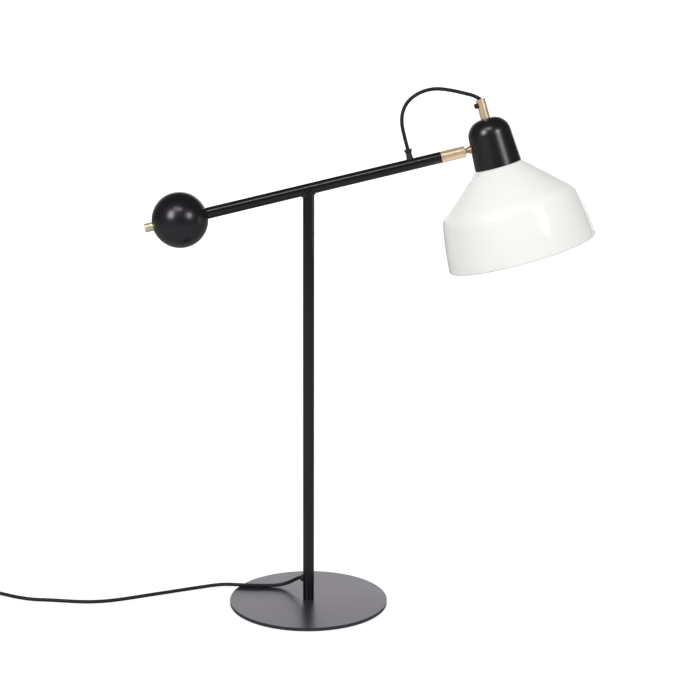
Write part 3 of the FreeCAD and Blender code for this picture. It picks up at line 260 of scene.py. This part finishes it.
def lacquer_group():
    """Sprayed lacquer: a fine orange peel, slow drifts in gloss and scattered dust nibs."""
    group, given, result = new_group(
        "sprayed lacquer",
        [
            ("Vector", "NodeSocketVector", None),
            ("Peel Scale", "NodeSocketFloat", 900.0),
            ("Nibs", "NodeSocketFloat", 0.5),
        ],
        [
            ("Height", "NodeSocketFloat"),
            ("Drift", "NodeSocketFloat"),
            ("Dust", "NodeSocketFloat"),
        ],
    )
    vector = given.outputs["Vector"]
    peel = group.nodes.new("ShaderNodeTexNoise")
    peel.inputs["Detail"].default_value = 2.0
    group.links.new(vector, peel.inputs["Vector"])
    group.links.new(given.outputs["Peel Scale"], peel.inputs["Scale"])
    nibs = group.nodes.new("ShaderNodeTexVoronoi")
    nibs.inputs["Scale"].default_value = 160.0
    group.links.new(vector, nibs.inputs["Vector"])
    nib = ranged(group, nibs.outputs["Distance"], 1.0, 0.0, from_low=0.03, from_high=0.09)
    clouds = noise(group, vector, scale=45.0)
    sparse = ranged(group, clouds, 0.0, 1.0, from_low=0.56, from_high=0.66)
    nib = maths(group, "MULTIPLY", maths(group, "MULTIPLY", nib, sparse), given.outputs["Nibs"])
    height = maths(group, "ADD", peel.outputs["Fac"], nib)
    group.links.new(height, result.inputs["Height"])
    drift = noise(group, vector, scale=9.0, detail=4.0)
    group.links.new(drift, result.inputs["Drift"])
    fine = noise(group, vector, scale=420.0, detail=4.0)
    patches = noise(group, vector, scale=14.0, detail=2.0)
    group.links.new(maths(group, "MULTIPLY", fine, patches), result.inputs["Dust"])
    return group


def lathe_group():
    """Turned metal: fine rings about local Z on the sides and round the middle of the ends."""
    group, given, result = new_group(
        "lathe rings",
        [("Vector", "NodeSocketVector", None), ("Fineness", "NodeSocketFloat", 2600.0)],
        [
            ("Height", "NodeSocketFloat"),
            ("Streak", "NodeSocketFloat"),
            ("Tarnish", "NodeSocketFloat"),
        ],
    )
    fineness = given.outputs["Fineness"]
    split = group.nodes.new("ShaderNodeSeparateXYZ")
    group.links.new(given.outputs["Vector"], split.inputs["Vector"])
    x, y, z = split.outputs
    squares = maths(group, "MULTIPLY_ADD", y, y, maths(group, "MULTIPLY", x, x))
    radius = maths(group, "SQRT", squares)
    rings = group.nodes.new("ShaderNodeCombineXYZ")
    group.links.new(maths(group, "MULTIPLY", radius, fineness), rings.inputs["X"])
    group.links.new(maths(group, "MULTIPLY", z, fineness), rings.inputs["Z"])
    grooves = noise(group, rings.outputs["Vector"], scale=1.0, detail=4.0, roughness=0.7)
    streaks = noise(group, rings.outputs["Vector"], scale=0.11, detail=3.0, roughness=0.6)
    stains = noise(group, given.outputs["Vector"], scale=70.0, detail=5.0, roughness=0.6)
    group.links.new(grooves, result.inputs["Height"])
    group.links.new(streaks, result.inputs["Streak"])
    group.links.new(stains, result.inputs["Tarnish"])
    return group


def moulding_group():
    """Moulded plastic or rubber: a spark-eroded grain and faint handling marks."""
    group, given, result = new_group(
        "moulded grain",
        [("Vector", "NodeSocketVector", None), ("Grain Scale", "NodeSocketFloat", 2200.0)],
        [("Height", "NodeSocketFloat"), ("Rubbed", "NodeSocketFloat")],
    )
    vector = given.outputs["Vector"]
    grain = group.nodes.new("ShaderNodeTexVoronoi")
    group.links.new(vector, grain.inputs["Vector"])
    group.links.new(given.outputs["Grain Scale"], grain.inputs["Scale"])
    soft = noise(group, vector, scale=1100.0, detail=2.0)
    group.links.new(maths(group, "ADD", grain.outputs["Distance"], soft), result.inputs["Height"])
    rubbed = noise(group, vector, scale=60.0, detail=4.0, roughness=0.65)
    group.links.new(rubbed, result.inputs["Rubbed"])
    return group


LACQUER = lacquer_group()
LATHE = lathe_group()
MOULDING = moulding_group()


# Finishes


def new_finish(name):
    """A material with its shader, its tree and the object's own coordinates."""
    material = bpy.data.materials.new(name)
    material.use_nodes = True
    tree = material.node_tree
    coordinates = tree.nodes.new("ShaderNodeTexCoord")
    return material, tree, tree.nodes["Principled BSDF"], coordinates.outputs["Object"]


def use_group(tree, group, vector, **values):
    """A shared effect in a finish, with its inputs' values."""
    node = tree.nodes.new("ShaderNodeGroup")
    node.node_tree = group
    tree.links.new(vector, node.inputs["Vector"])
    for name, value in values.items():
        node.inputs[name.replace("_", " ")].default_value = value
    return node


def colour_by(tree, shader, mask, first, second):
    """Colours a finish from the first shade to the second as the mask rises."""
    tree.links.new(mixed(tree, mask, first, second), shader.inputs["Base Color"])


def roughen_by(tree, shader, mask, gloss, **span):
    """Takes a finish through its range of roughness as the mask rises."""
    tree.links.new(ranged(tree, mask, *gloss, **span), shader.inputs["Roughness"])


def bump(tree, shader, height, strength, distance):
    """Presses a height into a finish."""
    node = tree.nodes.new("ShaderNodeBump")
    node.inputs["Strength"].default_value = strength
    node.inputs["Distance"].default_value = distance
    tree.links.new(height, node.inputs["Height"])
    tree.links.new(node.outputs["Normal"], shader.inputs["Normal"])


def about_axis(tree, vector, place, axis):
    """The object's coordinates seen from a place, with Z along an axis."""
    node = tree.nodes.new("ShaderNodeMapping")
    node.vector_type = "TEXTURE"
    node.inputs["Location"].default_value = place
    node.inputs["Rotation"].default_value = UP.rotation_difference(axis).to_euler()
    tree.links.new(vector, node.inputs["Vector"])
    return node.outputs["Vector"]


def lacquer(name, deep, thin, gloss, specular, tint):
    """Black lacquer over metal: its two shades, its range of roughness and its sheen."""
    material, tree, shader, vector = new_finish(name)
    skin = use_group(tree, LACQUER, vector)
    dust = ranged(tree, skin.outputs["Dust"], 0, 1, from_low=0.2, from_high=0.42)
    colour_by(tree, shader, dust, deep, thin)
    roughen_by(tree, shader, skin.outputs["Drift"], gloss)
    shader.inputs["Specular IOR Level"].default_value = specular
    shader.inputs["Specular Tint"].default_value = (*tint, 1)
    bump(tree, shader, skin.outputs["Height"], strength=0.25, distance=0.00003)
    return material


def turned_brass(name, place, axis, bright, dull, gloss):
    """Lacquered brass off the lathe, with its rings about the piece's own axis."""
    material, tree, shader, vector = new_finish(name)
    rings = use_group(tree, LATHE, about_axis(tree, vector, place, axis))
    streaked = mixed(tree, ranged(tree, rings.outputs["Streak"], 0, 1), bright, dull)
    stain = ranged(tree, rings.outputs["Tarnish"], 0, 0.35, from_low=0.5, from_high=0.75)
    colour_by(tree, shader, stain, streaked, dull)
    roughen_by(tree, shader, rings.outputs["Height"], gloss)
    shader.inputs["Metallic"].default_value = 0.65
    shader.inputs["Coat Weight"].default_value = 1.0
    shader.inputs["Coat Roughness"].default_value = 0.2
    bump(tree, shader, rings.outputs["Height"], strength=0.2, distance=0.000012)
    return material


def metal(name, bright, dull, gloss):
    """Plain plated or drawn metal for the hidden fixings."""
    material, tree, shader, vector = new_finish(name)
    skin = use_group(tree, LACQUER, vector, Peel_Scale=1500.0)
    colour_by(tree, shader, ranged(tree, skin.outputs["Drift"], 0, 1), bright, dull)
    roughen_by(tree, shader, skin.outputs["Dust"], gloss, from_low=0.15, from_high=0.4)
    shader.inputs["Metallic"].default_value = 1.0
    bump(tree, shader, skin.outputs["Height"], strength=0.3, distance=0.00002)
    return material


def moulded(name, deep, rubbed, gloss, grain=0.00003, grain_scale=2200.0):
    """Moulded plastic, nylon or rubber."""
    material, tree, shader, vector = new_finish(name)
    skin = use_group(tree, MOULDING, vector, Grain_Scale=grain_scale)
    colour_by(tree, shader, ranged(tree, skin.outputs["Rubbed"], 0, 1), deep, rubbed)
    roughen_by(tree, shader, skin.outputs["Rubbed"], gloss)
    bump(tree, shader, skin.outputs["Height"], strength=0.5, distance=grain)
    return material


def opal_glass():
    """Blown opal glass: milky all through, with a fire-polished, faintly waved skin."""
    material, tree, shader, vector = new_finish("blown opal glass")
    cloud = ranged(tree, noise(tree, vector, scale=16.0, detail=3.0), 0, 1)
    colour_by(tree, shader, cloud, (0.99, 0.968, 0.882), (0.972, 0.949, 0.859))
    smears = noise(tree, vector, scale=38.0, detail=5.0, roughness=0.7)
    roughen_by(tree, shader, smears, (0.06, 0.11), from_low=0.4, from_high=0.75)
    shader.inputs["Specular IOR Level"].default_value = 0.15
    shader.inputs["Subsurface Weight"].default_value = 1.0
    shader.inputs["Subsurface Radius"].default_value = (1.0, 0.97, 0.9)
    shader.inputs["Subsurface Scale"].default_value = 0.0045
    ripples = noise(tree, vector, scale=130.0, detail=2.0)
    waves = noise(tree, vector, scale=22.0, detail=1.0)
    height = maths(tree, "MULTIPLY_ADD", ripples, 0.12, waves)
    bump(tree, shader, height, strength=0.5, distance=0.0009)
    return material


def bulb_glass():
    """The bulb's white inner coating seen through its glass."""
    material, tree, shader, vector = new_finish("coated bulb glass")
    powder = noise(tree, vector, scale=500.0, detail=3.0)
    colour_by(tree, shader, ranged(tree, powder, 0, 1), (0.93, 0.93, 0.91), (0.88, 0.88, 0.86))
    roughen_by(tree, shader, noise(tree, vector, scale=60.0), (0.1, 0.2))
    shader.inputs["Coat Weight"].default_value = 0.6
    shader.inputs["Coat Roughness"].default_value = 0.04
    bump(tree, shader, powder, strength=0.2, distance=0.00002)
    return material


def ceramic():
    """Pressed steatite with a thin glaze."""
    material, tree, shader, vector = new_finish("glazed steatite")
    specks = noise(tree, vector, scale=900.0, detail=3.0)
    colour_by(tree, shader, ranged(tree, specks, 0, 1), (0.82, 0.8, 0.76), (0.76, 0.74, 0.7))
    roughen_by(tree, shader, specks, (0.25, 0.4))
    bump(tree, shader, specks, strength=0.3, distance=0.00005)
    return material


def felt():
    """Pressed wool felt with a fuzzy, slightly uneven face."""
    material, tree, shader, vector = new_finish("pressed felt")
    fibres = noise(tree, vector, scale=1400.0, detail=5.0, roughness=0.75)
    clumps = noise(tree, vector, scale=160.0, detail=3.0)
    fuzz = maths(tree, "MULTIPLY_ADD", clumps, 0.5, fibres)
    tips = ranged(tree, fuzz, 0, 1, from_low=0.6, from_high=0.95)
    colour_by(tree, shader, tips, (0.018, 0.018, 0.02), (0.05, 0.05, 0.054))
    roughen_by(tree, shader, clumps, (0.88, 0.98))
    shader.inputs["Sheen Weight"].default_value = 0.35
    shader.inputs["Sheen Roughness"].default_value = 0.6
    bump(tree, shader, fuzz, strength=0.8, distance=0.0002)
    return material


def cord_sheath(name, deep, rubbed, gloss):
    """Extruded cord sheath: a dull skin with faint draw lines and scuffs."""
    material, tree, shader, vector = new_finish(name)
    skin = use_group(tree, MOULDING, vector, Grain_Scale=3200.0)
    scuffs = noise(tree, vector, scale=240.0, detail=5.0, roughness=0.7)
    scuffs = ranged(tree, scuffs, 0, 1, from_low=0.45, from_high=0.7)
    colour_by(tree, shader, scuffs, deep, rubbed)
    roughen_by(tree, shader, skin.outputs["Rubbed"], gloss)
    bump(tree, shader, skin.outputs["Height"], strength=0.5, distance=0.00004)
    return material


BLACK_SHEATH = cord_sheath(
    "black cord sheath", (0.006, 0.006, 0.0065), (0.014, 0.014, 0.015), (0.48, 0.6)
)

# The axes that the turned pieces' rings run round: the arm's and the head's
SWIVEL = next(joint for joint in frame["joints"] if joint["name"] == "head_swivel")
ARM_AXIS = Vector(SWIVEL["axis"]).normalized()
JOINT_PLACE = Vector(SWIVEL["pos_m"])
HEAD_AXIS = (centre("cord_grip") - centre("shade_ring")).normalized()
HEAD_PLACE = centre("cord_grip")


def finishes():
    """Each finish with the nodes that carry it."""
    warm = (0.98, 0.76, 0.5)
    warm_dull = (0.9, 0.69, 0.44)
    pale = (0.97, 0.93, 0.66)
    pale_dull = (0.9, 0.85, 0.58)
    # The ball joint's brass is darkened as painted shade, for the shade it sits in between the
    # sleeve and the cap
    shaded = (0.52, 0.37, 0.2)
    shaded_dull = (0.36, 0.25, 0.13)
    satin = (0.27, 0.34)
    return [
        (
            lacquer(
                "satin foot lacquer",
                (0.018, 0.0145, 0.023),
                (0.025, 0.0205, 0.031),
                gloss=(0.3, 0.35),
                specular=1.0,
                tint=(0.95, 0.87, 1.0),
            ),
            ["base_plate"],
        ),
        (
            lacquer(
                "satin black tube lacquer",
                (0.003, 0.003, 0.0036),
                (0.0045, 0.0045, 0.0052),
                gloss=(0.19, 0.23),
                specular=0.75,
                tint=(0.95, 0.95, 1.0),
            ),
            ["stem_tube", "arm_tube", "tee_weld"],
        ),
        (
            lacquer(
                "black ball lacquer",
                (0.0025, 0.0019, 0.0033),
                (0.0038, 0.003, 0.0046),
                gloss=(0.27, 0.31),
                specular=0.85,
                tint=(0.97, 0.91, 1.0),
            ),
            ["ball_weight"],
        ),
        (
            lacquer(
                "black cap lacquer",
                (0.0022, 0.0024, 0.0029),
                (0.0034, 0.0037, 0.0043),
                gloss=(0.25, 0.3),
                specular=0.95,
                tint=(0.95, 0.98, 1.0),
            ),
            ["head_cap"],
        ),
        (
            turned_brass("turned brass of the arm", JOINT_PLACE, ARM_AXIS, warm, warm_dull, satin),
            ["joint_sleeve", "joint_retainer", "friction_cup"],
        ),
        (
            # Painted shade: the ball joint's brass is made darker for the shade between the sleeve
            # and the cap
            turned_brass(
                "aged brass of the ball joint", JOINT_PLACE, ARM_AXIS, shaded, shaded_dull, (0.3, 0.42)
            ),
            ["ball_stud", "joint_collar"],
        ),
        (
            turned_brass(
                "turned brass of the finial", JOINT_PLACE, ARM_AXIS, pale, pale_dull, satin
            ),
            ["ball_finial"],
        ),
        (
            turned_brass("turned brass of the grip", HEAD_PLACE, HEAD_AXIS, warm, warm_dull, satin),
            ["cord_grip", "grip_nut", "holder_terminals", "screw_shell", "bulb_cap"],
        ),
        (
            metal("zinc plate", (0.62, 0.62, 0.64), (0.5, 0.5, 0.51), (0.28, 0.42)),
            ["base_screw", "foot_insert", "tail_insert", "ball_rod", "joint_nut", "switch_screws"],
        ),
        (
            metal("spring steel", (0.48, 0.47, 0.46), (0.36, 0.35, 0.34), (0.22, 0.34)),
            ["disc_springs", "centre_contact"],
        ),
        (
            metal("drawn contact brass", (0.74, 0.58, 0.34), (0.6, 0.45, 0.25), (0.24, 0.38)),
            ["switch_bridge", "switch_terminals", "plug_pins"],
        ),
        (
            moulded(
                "black rubber", (0.012, 0.012, 0.0125), (0.024, 0.024, 0.025), (0.5, 0.66), 0.00005
            ),
            ["foot_gland", "arm_gland"],
        ),
        (
            moulded("black nylon", (0.012, 0.012, 0.013), (0.02, 0.02, 0.021), (0.34, 0.46)),
            ["grip_screw"],
        ),
        (
            moulded("black thermoset", (0.014, 0.013, 0.013), (0.025, 0.024, 0.024), (0.3, 0.44)),
            ["holder_cap", "holder_skirt", "shade_ring"],
        ),
        (
            moulded(
                "black switch plastic",
                (0.013, 0.013, 0.014),
                (0.026, 0.026, 0.028),
                gloss=(0.42, 0.56),
                grain=0.00006,
                grain_scale=1600.0,
            ),
            ["switch_base", "switch_cover"],
        ),
        (
            moulded(
                "black rocker plastic", (0.011, 0.011, 0.012), (0.02, 0.02, 0.022), (0.28, 0.4)
            ),
            ["switch_rocker"],
        ),
        (
            moulded(
                "black plug plastic",
                (0.013, 0.013, 0.014),
                (0.024, 0.024, 0.026),
                gloss=(0.44, 0.58),
                grain=0.00005,
            ),
            ["plug_body", "pin_sleeves"],
        ),
        (opal_glass(), ["shade"]),
        (bulb_glass(), ["bulb_glass"]),
        (ceramic(), ["holder_core"]),
        (BLACK_SHEATH, ["inner_cord", "head_cord"]),
        (
            cord_sheath("wire insulation", (0.09, 0.16, 0.33), (0.12, 0.2, 0.38), (0.35, 0.5)),
            ["holder_wires", "switch_wires"],
        ),
    ]


def dress_nodes():
    """Puts each finish on its nodes."""
    for material, nodes in finishes():
        for name in nodes:
            for place in frame["nodes"][name].material_slots:
                place.material = material


# New pieces


def select_parts(obj, kind, chosen):
    """Selects the faces or edges that the test picks, and leaves the piece in edit mode."""
    bpy.ops.object.mode_set(mode="EDIT")
    bpy.ops.mesh.select_mode(type=kind)
    bpy.ops.mesh.select_all(action="DESELECT")
    bpy.ops.object.mode_set(mode="OBJECT")
    for part in obj.data.polygons if kind == "FACE" else obj.data.edges:
        part.select = chosen(part)
    bpy.ops.object.mode_set(mode="EDIT")


def settle(obj, name):
    """Names a piece and puts its place into its mesh."""
    obj.name = name
    obj.data.name = name
    bpy.ops.object.transform_apply(location=True, rotation=True, scale=True)
    bpy.ops.object.shade_smooth_by_angle(angle=SMOOTH_ANGLE)
    obj.select_set(False)


def felt_pad():
    """The felt disc under the foot, its cut edge a little rounded."""
    low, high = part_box("base_pad")
    radius = (high.x - low.x) / 2
    bpy.ops.mesh.primitive_cylinder_add(
        vertices=FELT_SIDES,
        radius=radius,
        depth=high.z - low.z,
        location=(low + high) / 2,
    )
    pad = bpy.context.object

    def on_rim(edge):
        first, second = (pad.data.vertices[i].co for i in edge.vertices)
        level = abs(first.z - second.z) < FELT_BEVEL
        return level and min(first.xy.length, second.xy.length) > radius - FELT_INSET / 2

    select_parts(pad, "FACE", lambda face: abs(face.normal.z) > 0.5)
    bpy.ops.mesh.inset(thickness=FELT_INSET)
    select_parts(pad, "EDGE", on_rim)
    bpy.ops.mesh.bevel(offset=FELT_BEVEL, segments=FELT_BEVEL_STEPS)
    bpy.ops.object.mode_set(mode="OBJECT")
    settle(pad, "felt_pad")
    pad.data.materials.append(felt())
    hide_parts("base_pad")
    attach(pad, "stand")


def route_curve(name, points, diameter):
    """A smooth curve with the route's points as its control points."""
    curve = bpy.data.curves.new(name, "CURVE")
    curve.dimensions = "3D"
    spline = curve.splines.new("NURBS")
    spline.points.add(len(points) - 1)
    for control, point in zip(spline.points, points):
        control.co = (*point, 1)
    spline.order_u = CORD_CURVE_ORDER
    spline.use_endpoint_u = True
    spline.resolution_u = CORD_CURVE_STEPS
    curve.bevel_depth = diameter / 2
    curve.bevel_resolution = CORD_ROUNDNESS
    curve.use_fill_caps = True
    obj = bpy.data.objects.new(name, curve)
    bpy.context.scene.collection.objects.link(obj)
    return obj


def centreline(points):
    """The points of the smooth line through a route."""
    helper = route_curve("centreline", points, 0)
    bpy.context.view_layer.update()
    graph = bpy.context.evaluated_depsgraph_get()
    mesh = bpy.data.meshes.new_from_object(helper.evaluated_get(graph))
    line = [vertex.co.copy() for vertex in mesh.vertices]
    curve = helper.data
    bpy.data.objects.remove(helper)
    bpy.data.curves.remove(curve)
    bpy.data.meshes.remove(mesh)
    return line


def coil_route():
    """Control points of the coil, from the end of the mains route."""
    heading = Matrix.Rotation(math.radians(COIL_HEADING), 3, "Z") @ Vector((1, 0, 0))
    inward = COIL_HALVES // 2
    widest = COIL_MIDDLE_RADIUS + COIL_STEP * inward / 4
    point = Vector(MAINS_ROUTE[-1])
    step = math.pi / COIL_POINTS_PER_HALF
    controls = []
    for i in range(COIL_HALVES):
        radius = widest - COIL_STEP / 2 * (inward - abs(i - inward))
        aside = UP.cross(heading)
        middle = point + aside * radius
        for j in range(COIL_POINTS_PER_HALF):
            angle = step * (j + 0.5)
            reach = radius / math.cos(step / 2)
            control = middle + (heading * math.sin(angle) - aside * math.cos(angle)) * reach
            if i == inward:
                control += UP * (COIL_STEP * (1 - math.cos(angle)) / 2)
            controls.append(control)
        point = point + aside * (radius * 2)
        if i == inward:
            point = point + UP * COIL_STEP
        heading = heading * -1
    return controls


def mains_cord():
    """The whole lead from the foot to the plug, with the switch on its way."""
    cord = route_curve("mains_lead", MAINS_ROUTE + coil_route() + PLUG_ROUTE, CORD_DIAMETER)
    cord.data.materials.append(BLACK_SHEATH)
    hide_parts("mains_cord", "switch_lead", "mains_coil", "plug_lead", "plug_cord_end")
    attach(cord, "stand")


def half_loop(name, first, last):
    """Half of the loop as a mesh tube."""
    cord = route_curve(name, LOOP_ROUTE, CORD_DIAMETER)
    cord.data.bevel_factor_mapping_start = "RESOLUTION"
    cord.data.bevel_factor_mapping_end = "RESOLUTION"
    cord.data.bevel_factor_start = first
    cord.data.bevel_factor_end = last
    cord.data.materials.append(BLACK_SHEATH)
    bpy.context.view_layer.objects.active = cord
    cord.select_set(True)
    bpy.ops.object.convert(target="MESH")
    bpy.ops.object.shade_smooth_by_angle(angle=SMOOTH_ANGLE)
    cord.select_set(False)
    line = centreline(LOOP_ROUTE)
    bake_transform(cord)
    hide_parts("loop_cord")


def loop_cord():
    """The loop in two halves, split in the middle of its route."""
    half_loop("loop_lower_half", 0.0, 0.5)
    half_loop("loop_upper_half", 0.5, 1.0)


# Studio


def camera():
    """The camera as it stood for the photograph."""
    data = bpy.data.cameras.new("camera")
    data.sensor_width = FILM_WIDTH
    data.lens = FOCAL_LENGTH
    data.clip_end = CAMERA_SIGHT
    obj = bpy.data.objects.new("camera", data)
    turn = Matrix.Rotation(math.radians(-CAMERA_YAW), 4, "Z")
    turn = turn @ Matrix.Rotation(math.radians(90 - CAMERA_PITCH), 4, "X")
    turn = turn @ Matrix.Rotation(math.radians(-CAMERA_ROLL), 4, "Z")
    obj.matrix_world = Matrix.Translation(CAMERA_PLACE) @ turn
    bpy.context.scene.collection.objects.link(obj)
    bpy.context.scene.camera = obj


def softbox(name, place, aim, width, height, power):
    """A rectangular lamp that faces a point."""
    data = bpy.data.lights.new(name, "AREA")
    data.shape = "RECTANGLE"
    data.size = width
    data.size_y = height
    data.energy = power
    obj = bpy.data.objects.new(name, data)
    place = Vector(place)
    turn = (Vector(aim) - place).to_track_quat("-Z", "Y")
    obj.matrix_world = Matrix.Translation(place) @ turn.to_matrix().to_4x4()
    bpy.context.scene.collection.objects.link(obj)


def world():
    """The studio's light, darker above, with the lit backdrop. The camera sees plain white."""
    made = bpy.data.worlds.new("studio")
    made.use_nodes = True
    bpy.context.scene.world = made
    tree = made.node_tree
    background = tree.nodes["Background"]
    coordinates = tree.nodes.new("ShaderNodeTexCoord")
    split = tree.nodes.new("ShaderNodeSeparateXYZ")
    tree.links.new(coordinates.outputs["Generated"], split.inputs["Vector"])
    x, y, z = split.outputs
    behind = ranged(tree, y, 0.0, 1.0, *BACKDROP_SIDE_SPAN)
    low = ranged(tree, z, 1.0, 0.0, *BACKDROP_TOP_SPAN)
    level = ranged(tree, x, BACKDROP_LEFT, BACKDROP_LIGHT, *BACKDROP_LEFT_SPAN)
    backdrop = maths(tree, "MULTIPLY", maths(tree, "MULTIPLY", behind, low), level)
    rays = tree.nodes.new("ShaderNodeLightPath")
    sheen = rays.outputs["Is Glossy Ray"]
    even = ranged(tree, z, STUDIO_LIGHT, CEILING_LIGHT, *CEILING_SPAN)
    matt = maths(tree, "MULTIPLY", even, maths(tree, "SUBTRACT", 1.0, sheen))
    around = maths(tree, "MULTIPLY_ADD", sheen, STUDIO_IN_SHEEN, matt)
    light = maths(tree, "ADD", backdrop, around)
    seen = maths(tree, "MAXIMUM", rays.outputs["Is Camera Ray"], light)
    tree.links.new(seen, background.inputs["Strength"])
    background.inputs["Color"].default_value = (1, 1, 1, 1)


def floor():
    """A pale floor that the camera sees as white, apart from the shadow near the object."""
    bpy.ops.mesh.primitive_plane_add(size=FLOOR_SIZE, location=(0, 0, 0))
    plane = bpy.context.object
    plane.name = "floor"
    plane.select_set(False)
    material = bpy.data.materials.new("white floor")
    material.use_nodes = True
    tree = material.node_tree
    shader = tree.nodes["Principled BSDF"]
    shader.inputs["Base Color"].default_value = (*FLOOR_COLOUR, 1)
    shader.inputs["Roughness"].default_value = FLOOR_ROUGHNESS
    shader.inputs["Specular IOR Level"].default_value = FLOOR_SPECULAR
    rays = tree.nodes.new("ShaderNodeLightPath")
    middle = tree.nodes.new("ShaderNodeTexCoord").outputs["Object"]
    length = tree.nodes.new("ShaderNodeVectorMath")
    length.operation = "LENGTH"
    tree.links.new(middle, length.inputs[0])
    glow = ranged(tree, length.outputs["Value"], *FLOOR_GLOW, *FLOOR_GLOW_RADII)
    seen = maths(tree, "MULTIPLY", rays.outputs["Is Camera Ray"], glow)
    shader.inputs["Emission Color"].default_value = (1, 1, 1, 1)
    tree.links.new(seen, shader.inputs["Emission Strength"])
    plane.data.materials.append(material)


def studio():
    """Camera, surroundings, floor and lamps."""
    bpy.context.scene.view_settings.view_transform = "Standard"
    camera()
    world()
    floor()
    for values in SOFTBOXES:
        softbox(*values)


dress_nodes()
felt_pad()
mains_cord()
loop_cord()
studio()
